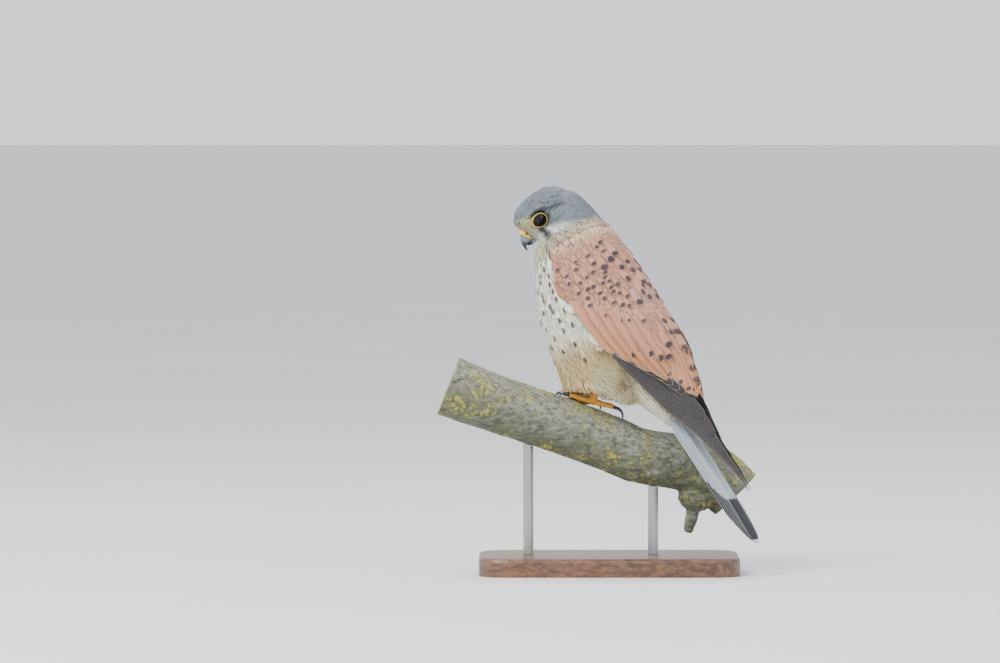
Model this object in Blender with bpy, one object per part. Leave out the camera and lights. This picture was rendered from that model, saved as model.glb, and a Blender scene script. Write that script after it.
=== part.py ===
"""Common kestrel, life size, on a cut length of branch held by a plain display stand.

Lengths are millimetres in this file and become metres where a mesh is made.
The bird faces -X with its left side towards -Y. The stand's underside is z = 0,
and PERCH_Z is the height of the branch's crest at the feet.
"""
import math

import bmesh
import bpy
from mathutils import Matrix, Vector

MM = 0.001
GAP = 0.3

# Stand and perch
BASE_LENGTH = 200.0
BASE_WIDTH = 120.0
BASE_THICK = 14.0
BASE_CORNER = 22.0
BASE_EDGE = 2.5
ROD_RADIUS = 4.0
ROD_STATIONS = (-62.0, 34.0)
PERCH_Z = 131.5
PERCH_TURN = math.radians(25.0)
PERCH_SIDES = 24
PERCH_BEND = 0.0024
PERCH_BEND_START = 10.0

# Bird
HEAD_TURN = math.radians(45.0)
HEAD_PITCH = math.radians(53.0)
HEAD_ROLL = math.radians(9.0)
EYE_MIDPOINT = (-61.5, -8.0, 142.3)
EYE_RADIUS = 6.3
EYE_SIDE = 10.8
EYE_FORWARD = math.radians(18.0)
LID_RADIUS = 5.4
LID_THICK = 0.85
LID_OUT = 4.5
SOCKET_DISH = [(3.4, 6.25), (4.6, 6.75), (6.2, 8.2), (8.5, 12.0), (14.0, 17.0)]
EYE_SIDES = 16
NOSTRIL = (14.2, -2.4, 5.0)
NOSTRIL_RADIUS = 1.0

BODY_SIDES = 24
HEAD_SIDES = 22

# Torso and neck stations: dorsal x, z, ventral x, z, half width.
# Heights here are above the perch's crest.
BODY_ROWS = (
    (-36.0, 163.0, -51.0, 130.0, 8.0),
    (-30.0, 161.5, -56.0, 124.0, 13.5),
    (-23.0, 156.5, -58.5, 117.0, 19.5),
    (-14.0, 147.5, -60.0, 109.0, 25.5),
    (-4.0, 136.0, -60.5, 100.0, 28.5),
    (7.0, 121.0, -59.0, 88.0, 32.0),
    (18.5, 104.0, -57.5, 71.0, 35.0),
    (28.5, 87.0, -53.5, 54.0, 36.5),
    (36.0, 69.0, -47.0, 38.0, 35.5),
    (41.0, 54.0, -41.0, 23.0, 33.0),
    (43.5, 44.0, -36.0, 8.5, 28.5),
    (45.0, 36.0, -22.0, 5.0, 24.0),
    (45.5, 28.5, -4.0, 8.5, 19.5),
    (46.5, 21.0, 13.0, 10.0, 17.0),
    (50.0, 11.5, 29.0, -3.0, 15.5),
    (56.5, -2.0, 43.5, -11.5, 15.0),
    (61.5, -11.7, 53.0, -18.0, 14.0),
)
NECK_ROWS = 4

# Head stations: distance in front of the eyes, top, bottom, half width
HEAD_ROWS = (
    (13.4, 6.3, -11.0, 5.5),
    (12.4, 8.8, -13.5, 9.0),
    (10.0, 11.0, -16.0, 12.4),
    (5.4, 12.6, -18.5, 15.4),
    (0.0, 12.8, -20.0, 17.4),
    (-8.0, 11.2, -20.5, 19.2),
    (-16.0, 8.4, -19.5, 20.2),
    (-23.0, 5.0, -17.5, 19.2),
    (-28.5, 0.8, -14.5, 15.5),
    (-31.5, -3.5, -10.5, 9.0),
)

# Bill stations: top forward, up, bottom forward, up, half width
CERE_ROWS = (
    (8.0, 4.0, 6.0, -8.6, 5.4),
    (13.4, 2.9, 11.0, -9.2, 5.5),
    (15.3, 1.6, 13.2, -9.9, 5.4),
    (16.8, -0.3, 14.8, -10.2, 5.0),
)
UPPER_BILL_ROWS = (
    (17.0, -0.8, 15.0, -10.3, 4.8),
    (18.9, -2.6, 17.0, -10.3, 4.3),
    (20.5, -4.4, 19.0, -10.0, 3.6),
    (21.6, -6.3, 20.3, -9.6, 2.8),
    (22.4, -8.2, 20.8, -9.9, 2.1),
    (22.9, -10.3, 21.2, -11.1, 1.5),
    (23.0, -12.2, 21.9, -12.6, 0.9),
    (22.6, -13.9, 22.2, -13.7, 0.35),
)
LOWER_BILL_ROWS = (
    (6.0, -10.0, 5.0, -13.6, 4.6),
    (10.0, -10.2, 9.0, -14.0, 4.8),
    (14.5, -10.9, 13.5, -14.3, 4.2),
    (17.5, -10.8, 17.0, -13.4, 3.1),
    (19.6, -10.6, 19.4, -11.9, 1.6),
)

# Perch axis: distance along the branch's plan line, height above the crest, radius
PERCH_ROWS = (
    (-123.7, 12.4, 23.6),
    (-99.0, 2.8, 22.6),
    (-60.0, -10.5, 22.0),
    (-30.0, -20.5, 22.0),
    (3.0, -33.0, 21.8),
    (20.0, -40.5, 21.6),
    (38.0, -44.0, 21.5),
    (56.0, -46.5, 22.0),
    (72.0, -52.0, 23.0),
    (86.0, -61.0, 23.0),
    (98.0, -72.5, 22.5),
)

# Knot under the perch: station, height, sideways, three radii; then its broken stub's
# stations, heights and radii
KNOT = (67.5, -72.0, -4.0, (13.5, 12.0, 15.0))
STUB_ROWS = (
    (66.0, -76.0, 6.5),
    (64.0, -88.0, 5.2),
    (61.0, -99.0, 4.4),
    (60.4, -101.0, 2.6),
)

# Wing shell stations on the left side: lower edge x, y, z, upper edge x, y, z,
# thickness, and how far the section bows out to a quarter oval (0 is flat)
WING_ROWS = (
    (-37.0, -29.0, 121.0, -4.0, -0.3, 138.0, 2.5, 1.0),
    (-38.5, -33.5, 108.0, 11.5, -0.3, 119.0, 9.0, 1.0),
    (-33.0, -38.0, 96.5, 22.5, -0.3, 103.5, 12.0, 1.0),
    (-25.5, -40.5, 83.0, 33.0, -0.3, 88.5, 13.0, 1.0),
    (-14.5, -41.5, 69.5, 43.0, -0.3, 73.5, 13.0, 1.0),
    (-4.0, -40.5, 58.0, 52.5, -0.3, 60.0, 12.0, 1.0),
    (6.0, -38.5, 48.0, 60.0, -0.3, 47.0, 10.0, 0.95),
    (18.0, -35.5, 39.5, 66.0, -0.3, 34.5, 7.5, 0.85),
    (40.0, -29.0, 27.5, 70.5, -0.6, 23.0, 5.0, 0.7),
    (57.0, -22.0, 17.0, 74.0, -1.8, 13.0, 3.5, 0.6),
    (69.0, -14.0, 7.5, 76.5, -4.0, 5.0, 2.0, 0.5),
)

# Exponent of the wing's section: 1 is a true oval, less is squarer
WING_SQUARE = 0.8

# Direction of the folded primaries
PRIMARY_RUN = (0.59, 0.0, -0.8)

# Folded primaries on the left side: lower edge x, y, z, upper edge x, y, z
PRIMARY_ROWS = (
    (4.0, -36.5, 49.0, 20.0, -33.0, 47.0),
    (17.0, -34.0, 39.0, 38.0, -27.0, 37.0),
    (29.0, -30.5, 26.5, 52.0, -19.5, 29.0),
    (41.5, -26.5, 13.5, 63.0, -12.5, 18.0),
    (56.5, -22.0, -3.0, 75.0, -7.5, 5.0),
    (73.7, -18.0, -19.0, 84.5, -3.0, -9.0),
    (91.4, -14.0, -36.5, 95.0, -1.8, -29.0),
    (106.8, -9.5, -54.0, 108.5, -2.0, -47.5),
    (117.5, -5.0, -65.5, 118.6, -3.0, -65.0),
)

# Primaries: how many, how far along the folded stack each tip lies (0 to 1),
# and the share of the stack's width by which each lower edge starts above the last
PRIMARY_TIPS = (0.93, 1.0, 0.985, 0.90, 0.81, 0.72, 0.63, 0.55, 0.48, 0.42)
PRIMARY_STEP = 0.085
PRIMARY_WIDTH = 0.42
PRIMARY_STAGGER = 0.006
PRIMARY_ROOM = 1.8
# How late the lower edges close in on the upper one, and the layer that lies on the rows
PRIMARY_CLOSING = 3
PRIMARY_LEVEL = 3.8

# Secondaries and tertials on the wing's shell: row where the vane starts and ends,
# then its lower and upper edge as shares of the section from the lower edge
WING_VANES = (
    (3.9, 7.6, 0.01, 0.22),
    (4.2, 8.5, 0.11, 0.38),
    (4.5, 9.3, 0.25, 0.58),
    (4.9, 9.8, 0.44, 0.77),
    (5.4, 8.8, 0.66, 0.96),
)

# Vanes: thickness, height of each above the one it covers, and how its width
# falls to the tip, as (share of length, share of width)
VANE_THICK = 0.7
VANE_LIFT = 0.45
VANE_TIP_HALF = 0.5
WING_VANE_CLEAR = 0.1
WING_VANE_RISE = 1.2
VANE_SHAPE = ((0.0, 0.75), (0.35, 1.0), (0.65, 0.98), (0.84, 0.8), (0.95, 0.45), (1.0, 0.12))

# Tail: where its axis starts, how steeply it falls, and its feathers
TAIL_ROOT = (28.3, 0.0, 26.0)
TAIL_FALL = math.radians(53.7)
TAIL_LENGTH = 163.0
TAIL_START = 31.0
TAIL_PAIRS = 6
TAIL_HALF_WIDTH = 18.5
TAIL_VANE_WIDTH = 16.0
TAIL_STEP_BACK = 19.0
TAIL_ROOT_WIDTH = 0.45
# Share of a tail feather over which it widens, and how much narrower its root is
TAIL_OPENING = 0.3
TAIL_NARROWING = 0.45
# Where the middle pair lies, as a share of the outer pair's distance from the midline
TAIL_MIDDLE = 0.06
# How far the middle feathers ride above the outer ones
TAIL_ARCH = 4.0

# Feet: station along the perch, turn round it from the crest, heel x, y, z,
# then the front middle toe's heading from the perch's uphill line
FEET = (
    ("left", -21.5, -6.0, (6.0, -16.0, 37.0), -25.0),
    ("right", -37.0, 48.0, (-11.0, 15.0, 37.0), -12.0),
)
# Toes: name, heading from the middle toe towards the bird's outer side, length,
# claw length, the angle at which the claw leaves the toe, and how far the toe's end rises
TOES = (
    ("inner", -20.0, 15.5, 9.5, 35.0, 0.0),
    ("middle", 0.0, 21.0, 10.5, 35.0, 0.0),
    ("outer", 28.0, 16.5, 9.5, 35.0, 0.0),
    ("hind", 190.0, 15.5, 15.0, 14.0, 4.0),
)
CLAW_SWEEP = math.radians(130.0)
CLAW_LEAD = 1.2
TOE_RADIUS = 2.4
CLAW_RADIUS = 1.5
TARSUS_RADIUS = 2.7
FOOT_LIFT = 3.4

# Thigh stations: centre x, distance from the midline, z, half length, half width
THIGH_ROWS = (
    (6.0, 18.0, 58.0, 9.0, 9.0),
    (6.0, 20.0, 50.0, 16.0, 14.0),
    (7.0, 20.0, 38.0, 18.0, 15.0),
    (8.0, 18.5, 25.0, 17.0, 14.0),
    (9.0, 16.5, 13.0, 15.0, 11.5),
    (10.5, 15.0, 4.0, 10.0, 7.5),
)
THIGH_SHIFT = {"left": 0.0, "right": -15.0}


def clear_scene():
    for thing in list(bpy.data.objects):
        bpy.data.objects.remove(thing, do_unlink=True)


def paint(name, colour, roughness, metallic=0.0):
    material = bpy.data.materials.new(name)
    material.use_nodes = True
    shader = material.node_tree.nodes["Principled BSDF"]
    shader.inputs["Base Color"].default_value = (*colour, 1.0)
    shader.inputs["Roughness"].default_value = roughness
    shader.inputs["Metallic"].default_value = metallic
    material.diffuse_color = (*colour, 1.0)
    return material


def solid(name, points, faces, material=None):
    """Make one closed object from millimetre points, with its faces pointing out."""
    mesh = bpy.data.meshes.new(name)
    mesh.from_pydata([Vector(p) * MM for p in points], [], faces)
    form = bmesh.new()
    form.from_mesh(mesh)
    bmesh.ops.recalc_face_normals(form, faces=form.faces)
    bmesh.ops.triangulate(form, faces=form.faces, quad_method="SHORT_EDGE")
    form.to_mesh(mesh)
    form.free()
    mesh.shade_smooth()
    mesh.set_sharp_from_angle(angle=math.radians(50.0))
    made = bpy.data.objects.new(name, mesh)
    bpy.context.collection.objects.link(made)
    if material:
        mesh.materials.append(material)
    return made


def loft(name, rings, material=None, shell=False):
    """Skin a run of rings with equal counts and close both ends.

    The ends are fans, or strips for a shell, whose ring runs out and back.
    """
    count = len(rings[0])
    points = [p for ring in rings for p in ring]
    faces = []
    for row in range(len(rings) - 1):
        for k in range(count):
            nxt = (k + 1) % count
            a = row * count
            b = a + count
            faces.append((a + k, a + nxt, b + nxt, b + k))
    for row in (0, len(rings) - 1):
        a = row * count
        if shell:
            for k in range(count // 2 - 1):
                faces.append((a + k, a + k + 1, a + count - 2 - k, a + count - 1 - k))
            continue
        points.append(sum((Vector(p) for p in rings[row]), Vector()) / count)
        for k in range(count):
            faces.append((a + k, a + (k + 1) % count, len(points) - 1))
    return solid(name, points, faces, material)


def smooth_rows(rows, steps):
    """Catmull-Rom values between the rows, steps to a span."""
    out = []
    last = len(rows) - 1
    for i in range(last):
        p0 = rows[max(i - 1, 0)]
        p1 = rows[i]
        p2 = rows[i + 1]
        p3 = rows[min(i + 2, last)]
        for k in range(steps):
            t = k / steps
            value = []
            for a, b, c, d in zip(p0, p1, p2, p3):
                cubic = -a + 3 * b - 3 * c + d
                square = 2 * a - 5 * b + 4 * c - d
                value.append(0.5 * (2 * b + (c - a) * t + square * t * t + cubic * t ** 3))
            out.append(tuple(value))
    out.append(tuple(rows[last]))
    return out


def oval(centre, half_a, half_b, sides, belly=0.5):
    """Ring round centre; half_a points to its top, and belly is the widest height."""
    ring = []
    low = centre - half_a
    middle = low + half_a * (2.0 * belly)
    for k in range(sides):
        angle = 2.0 * math.pi * k / sides
        rise = math.cos(angle)
        reach = 2.0 * (1.0 - belly) if rise > 0 else 2.0 * belly
        ring.append(middle + half_a * rise * reach + half_b * math.sin(angle))
    return ring


def evaluated_copy(made):
    graph = bpy.context.evaluated_depsgraph_get()
    return bpy.data.meshes.new_from_object(made.evaluated_get(graph))


def boolean(target, tool, operation, solver="EXACT"):
    """Apply one Boolean and keep the tool's object out of the result."""
    step = target.modifiers.new("cut", "BOOLEAN")
    step.operation = operation
    step.solver = solver
    step.object = tool
    result = evaluated_copy(target)
    target.modifiers.remove(step)
    old = target.data
    target.data = result
    bpy.data.meshes.remove(old)
    result.shade_smooth()
    result.set_sharp_from_angle(angle=math.radians(50.0))


def swollen(made, distance=GAP):
    """A copy of an object pushed out along its normals, to cut a fitting gap."""
    mesh = made.data.copy()
    normals = [v.normal.copy() for v in mesh.vertices]
    for v, n in zip(mesh.vertices, normals):
        v.co += n * distance * MM
    copy = bpy.data.objects.new(made.name + "_swollen", mesh)
    bpy.context.collection.objects.link(copy)
    return copy


def drop(made):
    bpy.data.objects.remove(made, do_unlink=True)


def cut_by(target, cutters):
    """Cut forms that are already swollen by the gap out of the target."""
    for cutter in cutters:
        boolean(target, cutter, "DIFFERENCE")
    keep_largest(target)


def keep_largest(made):
    """Keep only the largest closed surface of an object."""
    form = bmesh.new()
    form.from_mesh(made.data)
    form.faces.ensure_lookup_table()
    groups = []
    seen = set()
    for face in form.faces:
        if face in seen:
            continue
        seen.add(face)
        group = [face]
        for current in group:
            for edge in current.edges:
                for near in edge.link_faces:
                    if near not in seen:
                        seen.add(near)
                        group.append(near)
        groups.append(group)
    if len(groups) > 1:
        groups.sort(key=lambda g: sum(f.calc_area() for f in g))
        spare = [f for g in groups[:-1] for f in g]
        bmesh.ops.delete(form, geom=spare, context="FACES")
        form.to_mesh(made.data)
    form.free()


def place_z(x, y, z):
    return Vector((x, y, z + PERCH_Z))


def body_ring(row, sides=BODY_SIDES):
    xd, zd, xv, zv, half = row
    top = place_z(xd, 0.0, zd)
    low = place_z(xv, 0.0, zv)
    return oval((top + low) / 2, (top - low) / 2, Vector((0.0, half, 0.0)), sides)


def head_frame():
    """Unit forward, up and left vectors of the turned head, and the eyes' midpoint."""
    heading = math.pi + HEAD_TURN
    level = Vector((math.cos(heading), math.sin(heading), 0.0))
    side = Vector((-math.sin(heading), math.cos(heading), 0.0))
    rise = Vector((0.0, 0.0, 1.0))
    forward = level * math.cos(HEAD_PITCH) - rise * math.sin(HEAD_PITCH)
    upright = level * math.sin(HEAD_PITCH) + rise * math.cos(HEAD_PITCH)
    up = upright * math.cos(HEAD_ROLL) + side * math.sin(HEAD_ROLL)
    left = side * math.cos(HEAD_ROLL) - upright * math.sin(HEAD_ROLL)
    return forward, up, left, place_z(*EYE_MIDPOINT)


def in_head(forward, up, left):
    f, u, s, origin = head_frame()
    return origin + f * forward + u * up + s * left


def bill_loft(name, rows, belly, material, sides=16):
    side = head_frame()[2]
    rings = []
    for tf, tu, bf, bu, half in smooth_rows(rows, 2):
        top = in_head(tf, tu, 0.0)
        low = in_head(bf, bu, 0.0)
        rings.append(oval((top + low) / 2, (top - low) / 2, side * half, sides, belly))
    return loft(name, rings, material)


def make_neck_and_torso(feather):
    rows = smooth_rows(BODY_ROWS, 2)
    split = NECK_ROWS * 2
    neck = loft("neck", [body_ring(r) for r in rows[:split + 1]], feather)
    torso_rings = [body_ring(r) for r in rows[split:]]
    along = (torso_rings[1][0] - torso_rings[0][0]).normalized()
    torso_rings[0] = [p + along * GAP * 1.5 for p in torso_rings[0]]
    torso = loft("torso", torso_rings, feather)
    whole = loft("body_form", [body_ring(r) for r in rows])
    cutter = swollen(whole)
    drop(whole)
    return neck, torso, cutter


def make_head(feather):
    rings = []
    f, u, s, origin = head_frame()
    for forward, top, low, half in smooth_rows(HEAD_ROWS, 2):
        centre = origin + f * forward + u * (top + low) / 2
        rings.append(oval(centre, u * (top - low) / 2, s * half, HEAD_SIDES, 0.48))
    return loft("head", rings, feather)


def ball(name, centre, radii, axes, material=None, across=16, rings=10):
    """Closed ellipsoid; axes are three unit vectors and the first is its pole."""
    points = [centre + axes[0] * radii[0], centre - axes[0] * radii[0]]
    for r in range(1, rings):
        lean = math.pi * r / rings
        for k in range(across):
            angle = 2 * math.pi * k / across
            points.append(centre + axes[0] * radii[0] * math.cos(lean)
                          + axes[1] * radii[1] * math.sin(lean) * math.cos(angle)
                          + axes[2] * radii[2] * math.sin(lean) * math.sin(angle))
    faces = []
    for k in range(across):
        nxt = (k + 1) % across
        faces.append((0, 2 + k, 2 + nxt))
        base = 2 + (rings - 2) * across
        faces.append((1, base + nxt, base + k))
        for r in range(rings - 2):
            a = 2 + r * across
            faces.append((a + k, a + across + k, a + across + nxt, a + nxt))
    return solid(name, points, faces, material)


def cut_nostrils(cere):
    f, u, s, origin = head_frame()
    for side in (1, -1):
        forward, up, out = NOSTRIL
        pit = ball("nostril_pit", in_head(forward, up, out * side), (NOSTRIL_RADIUS,) * 3,
                   (s, u, f), None, 10, 6)
        boolean(cere, pit, "DIFFERENCE")
        drop(pit)


def eye_axes(side):
    f, u, s, origin = head_frame()
    pole = s * side * math.cos(EYE_FORWARD) + f * math.sin(EYE_FORWARD)
    ahead = u.cross(pole).normalized()
    return pole, u, ahead


def socket_form(centre, axes):
    """Round hollow for an eyeball and its lids that widens to a shallow dish."""
    pole, up, ahead = axes
    room = EYE_RADIUS + GAP
    profile = [(-room * math.cos(math.radians(a)), room * math.sin(math.radians(a)))
               for a in (4, 25, 45, 65, 85, 105)]
    profile += SOCKET_DISH
    rings = [oval(centre + pole * height, up * radius, ahead * radius, EYE_SIDES)
             for height, radius in profile]
    return loft("socket", rings)


def make_eyes(head, eye_paint, lid_paint):
    s, centre_line = head_frame()[2:]
    for label, side in (("left", 1), ("right", -1)):
        axes = eye_axes(side)
        pole, up, ahead = axes
        centre = centre_line + s * side * EYE_SIDE
        socket = socket_form(centre, axes)
        boolean(head, socket, "DIFFERENCE")
        drop(socket)
        eye = ball("eye_" + label, centre, (EYE_RADIUS,) * 3, axes, eye_paint, EYE_SIDES, 10)
        rings = []
        for k in range(EYE_SIDES):
            angle = 2 * math.pi * k / EYE_SIDES
            out = up * math.cos(angle) + ahead * math.sin(angle)
            middle = centre + out * LID_RADIUS + pole * LID_OUT
            rings.append(oval(middle, out * LID_THICK, pole * LID_THICK, 6))
        lid = ring_loft("eyelid_" + label, rings, lid_paint)
        cutter = swollen(eye)
        cut_by(lid, [cutter])
        drop(cutter)


def ring_loft(name, rings, material):
    """Skin rings that run round into a closed hoop."""
    count = len(rings[0])
    points = [p for ring in rings for p in ring]
    faces = []
    for row in range(len(rings)):
        a = row * count
        b = ((row + 1) % len(rings)) * count
        for k in range(count):
            nxt = (k + 1) % count
            faces.append((a + k, a + nxt, b + nxt, b + k))
    return solid(name, points, faces, material)


def perch_point(along, height):
    """Point on the branch's plan line, which bends away from under the tail."""
    side = PERCH_BEND * max(along - PERCH_BEND_START, 0.0) ** 2
    x = along * math.cos(PERCH_TURN) - side * math.sin(PERCH_TURN)
    y = along * math.sin(PERCH_TURN) + side * math.cos(PERCH_TURN)
    return place_z(x, y, height)


def make_perch(bark):
    rows = smooth_rows(PERCH_ROWS, 2)
    across = Vector((-math.sin(PERCH_TURN), math.cos(PERCH_TURN), 0.0))
    rings = []
    for i, (along, height, radius) in enumerate(rows):
        before = rows[max(i - 1, 0)]
        after = rows[min(i + 1, len(rows) - 1)]
        run = perch_point(*after[:2]) - perch_point(*before[:2])
        up = across.cross(run).normalized()
        if up.z < 0:
            up = -up
        rings.append(oval(perch_point(along, height), up * radius, across * radius, PERCH_SIDES))
    perch = loft("perch", rings, bark)
    cutter = swollen(perch)
    along, height, side, size = KNOT
    knot = ball("knot", perch_point(along, height) + across * side, size,
                (Vector((0.0, 0.0, -1.0)), across, across.cross(Vector((0.0, 0.0, 1.0)))),
                None, 12, 7)
    path = [perch_point(place, level) + across * side for place, level, radius in STUB_ROWS]
    stub = tube("stub", path, [row[2] for row in STUB_ROWS], 8)
    return join_pieces("perch", [perch, knot, stub], bark), cutter


def join_pieces(name, pieces, material):
    """One Boolean union of closed pieces, then only its largest surface."""
    group = bpy.data.collections.new(name + "_pieces")
    bpy.context.scene.collection.children.link(group)
    for piece in pieces[1:]:
        group.objects.link(piece)
    made = pieces[0]
    made.name = name
    made.data.name = name
    step = made.modifiers.new("join", "BOOLEAN")
    step.operation = "UNION"
    step.operand_type = "COLLECTION"
    step.collection = group
    result = evaluated_copy(made)
    made.modifiers.remove(step)
    made.data = result
    for piece in pieces[1:]:
        drop(piece)
    bpy.data.collections.remove(group)
    keep_largest(made)
    made.data.materials.clear()
    made.data.materials.append(material)
    made.data.shade_smooth()
    made.data.set_sharp_from_angle(angle=math.radians(50.0))
    return made


def mirrored(point, side):
    return Vector((point[0], point[1] * (1 if side == "left" else -1), point[2]))


def vane(name, stations):
    """Thin slab; each station lists points across its upper face and the outward normal."""
    rings = []
    for across, out in stations:
        rings.append(across + [p - out * VANE_THICK for p in reversed(across)])
    return loft(name, rings, shell=True)


def wing_point(row, share):
    """Point on the wing's outer surface; share runs from the lower edge to the spine."""
    low = place_z(*row[0:3])
    top = place_z(*row[3:6])
    corner = Vector((low.x, top.y, low.z))
    turn = share * math.pi / 2
    side_part = (low - corner) * max(math.cos(turn), 0.0) ** WING_SQUARE
    back_part = (top - corner) * math.sin(turn) ** WING_SQUARE
    return low.lerp(top, share).lerp(corner + side_part + back_part, row[7])


def wing_row(position):
    """Values of the wing's rows at a row number with a fraction."""
    rows = smooth_rows(WING_ROWS, 8)
    place = min(max(position, 0.0), len(WING_ROWS) - 1.0) * 8
    before = min(int(place), len(rows) - 2)
    share = place - before
    return [a + (b - a) * share for a, b in zip(rows[before], rows[before + 1])]


def make_wing_vanes():
    """Secondaries and tertials of the left wing, each lying on the one below it."""
    made = []
    for count, (start, end, low_share, top_share) in enumerate(WING_VANES):
        stations = []
        middle = (low_share + top_share) / 2
        for along, width in VANE_SHAPE:
            row = wing_row(start + (end - start) * along)
            half = (top_share - low_share) / 2 * width
            corner = Vector((row[0], row[4], row[2] + PERCH_Z))
            out = (wing_point(row, middle) - corner).normalized()
            lift = out * (WING_VANE_CLEAR + VANE_LIFT * (count % 2 + WING_VANE_RISE * along))
            shares = (middle - half, middle, middle + half)
            across = [wing_point(row, min(max(w, 0.0), 1.0)) + lift for w in shares]
            stations.append((across, out))
        made.append(vane("wing_vane", stations))
    return made


def mirror_across(made):
    """Move a left-hand piece to the right-hand side."""
    for vertex in made.data.vertices:
        vertex.co.y = -vertex.co.y
    made.data.flip_normals()


def mirrored_copy(made, name):
    copy = bpy.data.objects.new(name, made.data.copy())
    bpy.context.collection.objects.link(copy)
    mirror_across(copy)
    return copy


def make_wing(material):
    """Left shell of coverts and scapulars with its flight feathers on top, and its cutter."""
    rings = []
    steps = 7
    for row in smooth_rows(WING_ROWS, 2):
        corner = place_z(row[0], row[4], row[2])
        outer = [wing_point(row, k / (steps - 1)) for k in range(steps)]
        inner = []
        for k, point in enumerate(outer):
            depth = row[6] * min(1.0, 0.25 + 3.0 * k / (steps - 1))
            inner.append(point + (corner - point).normalized() * depth)
        rings.append(outer + inner[::-1])
    shell = loft("wing_left", rings, material, shell=True)
    cutter = swollen(shell)
    return join_pieces("wing_left", [shell] + make_wing_vanes(), material), cutter


def primary_edges(row):
    """Lower and upper edge of the folded stack at one row, and its outward normal."""
    low = place_z(*row[0:3])
    top = place_z(*row[3:6])
    out = (top - low).cross(Vector(PRIMARY_RUN)).normalized()
    return low, top, -out if out.y > 0 else out


def make_primaries(material):
    """Folded primaries in layers; the outermost lies lowest, and tips step up the edge."""
    rows = smooth_rows(PRIMARY_ROWS, 8)
    last = len(rows) - 1
    half_deep = VANE_LIFT * len(PRIMARY_TIPS) / 2 + PRIMARY_ROOM
    pieces = []
    rings = []
    for row in smooth_rows(PRIMARY_ROWS, 3):
        low, top, out = primary_edges(row)
        side = (top - low).normalized() * PRIMARY_ROOM
        deep = out * half_deep
        rings.append([low - side + deep, top + side + deep, top + side - deep, low - side - deep])
    cutter = loft("primaries_form", rings)
    for count, tip in enumerate(PRIMARY_TIPS):
        stations = []
        start = PRIMARY_STEP * count
        for along, width in VANE_SHAPE:
            place = (PRIMARY_STAGGER * count + along * (tip - PRIMARY_STAGGER * count)) * last
            before = min(int(place), last - 1)
            share = place - before
            row = [a + (b - a) * share for a, b in zip(rows[before], rows[before + 1])]
            low, top, out = primary_edges(row)
            edge = start + (1.0 - start) * (along * tip) ** PRIMARY_CLOSING
            far = min(edge + PRIMARY_WIDTH, 1.0 + PRIMARY_STAGGER * (len(PRIMARY_TIPS) - 1 - 2 * count))
            middle = low.lerp(top, (edge + far) / 2) + out * VANE_LIFT * (count - PRIMARY_LEVEL)
            half = max((far - edge) / 2 * width * (top - low).length, VANE_TIP_HALF)
            side = (top - low).normalized() * half
            stations.append(([middle - side, middle + side], out))
        pieces.append(vane("primary", stations))
    return join_pieces("primaries_left", pieces, material), cutter


def tail_point(along, across, lift):
    """Point of the tail, whose sheet is arched across and flattens towards the tip."""
    arch = TAIL_ARCH * (1.0 - min(along / TAIL_LENGTH, 1.0) ** 4)
    lift += arch * (1.0 - (across / TAIL_HALF_WIDTH) ** 2)
    run = Vector((math.cos(TAIL_FALL), 0.0, -math.sin(TAIL_FALL)))
    rise = Vector((math.sin(TAIL_FALL), 0.0, math.cos(TAIL_FALL)))
    return place_z(*TAIL_ROOT) + run * along + Vector((0.0, across, 0.0)) + rise * lift


def make_tail(material):
    """Tail feathers in pairs: the middle ones on top and longest, the outer ones lower."""
    rise = tail_point(0.0, 0.0, 1.0) - tail_point(0.0, 0.0, 0.0)
    pieces = []
    for pair in range(TAIL_PAIRS):
        share = pair / (TAIL_PAIRS - 1)
        length = TAIL_LENGTH - TAIL_STEP_BACK * share ** 2 - TAIL_START
        spread = (TAIL_HALF_WIDTH - TAIL_VANE_WIDTH / 2) * (TAIL_MIDDLE + (1 - TAIL_MIDDLE) * share)
        for hand in (-1, 1):
            lift = -VANE_LIFT * (pair + (0.5 if hand < 0 else 0.0))
            stations = []
            for along, width in VANE_SHAPE:
                opened = min(1.0, along / TAIL_OPENING)
                middle = hand * spread * (TAIL_ROOT_WIDTH + (1 - TAIL_ROOT_WIDTH) * opened)
                half = TAIL_VANE_WIDTH / 2 * width * (1 - TAIL_NARROWING * (1 - opened))
                place = TAIL_START + length * along
                across = [tail_point(place, middle + w * half, lift) for w in (-1, 1)]
                stations.append((across, rise))
            pieces.append(vane("tail_vane", stations))
    return join_pieces("tail", pieces, material)


def make_thigh(side, material):
    rings = []
    shift = THIGH_SHIFT[side]
    for x, y, z, long, wide in smooth_rows(THIGH_ROWS, 2):
        centre = mirrored(place_z(x + shift, -y, z), side)
        rings.append(oval(centre, Vector((long, 0.0, 0.0)), Vector((0.0, wide, 0.0)), 18))
    return loft("thigh_" + side, rings, material)


def perch_axis(along):
    """Height and radius of the perch at a station, read between its rows."""
    rows = smooth_rows(PERCH_ROWS, 6)
    for before, after in zip(rows, rows[1:]):
        if before[0] <= along <= after[0]:
            t = (along - before[0]) / (after[0] - before[0])
            slope = (after[1] - before[1]) / (after[0] - before[0])
            height = before[1] + (after[1] - before[1]) * t
            return height, before[2] + (after[2] - before[2]) * t, slope
    raise ValueError("station is off the perch")


def on_perch(along, turn, lift):
    """Point above the bark: station, turn round the axis in degrees, height above it."""
    height, radius, slope = perch_axis(along)
    plan = Vector((math.cos(PERCH_TURN), math.sin(PERCH_TURN), 0.0))
    across = Vector((-math.sin(PERCH_TURN), math.cos(PERCH_TURN), 0.0))
    up = (Vector((0.0, 0.0, 1.0)) - plan * slope).normalized()
    turn = math.radians(turn)
    out = up * math.cos(turn) + across * math.sin(turn)
    return perch_point(along, height) + out * (radius + lift)


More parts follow.
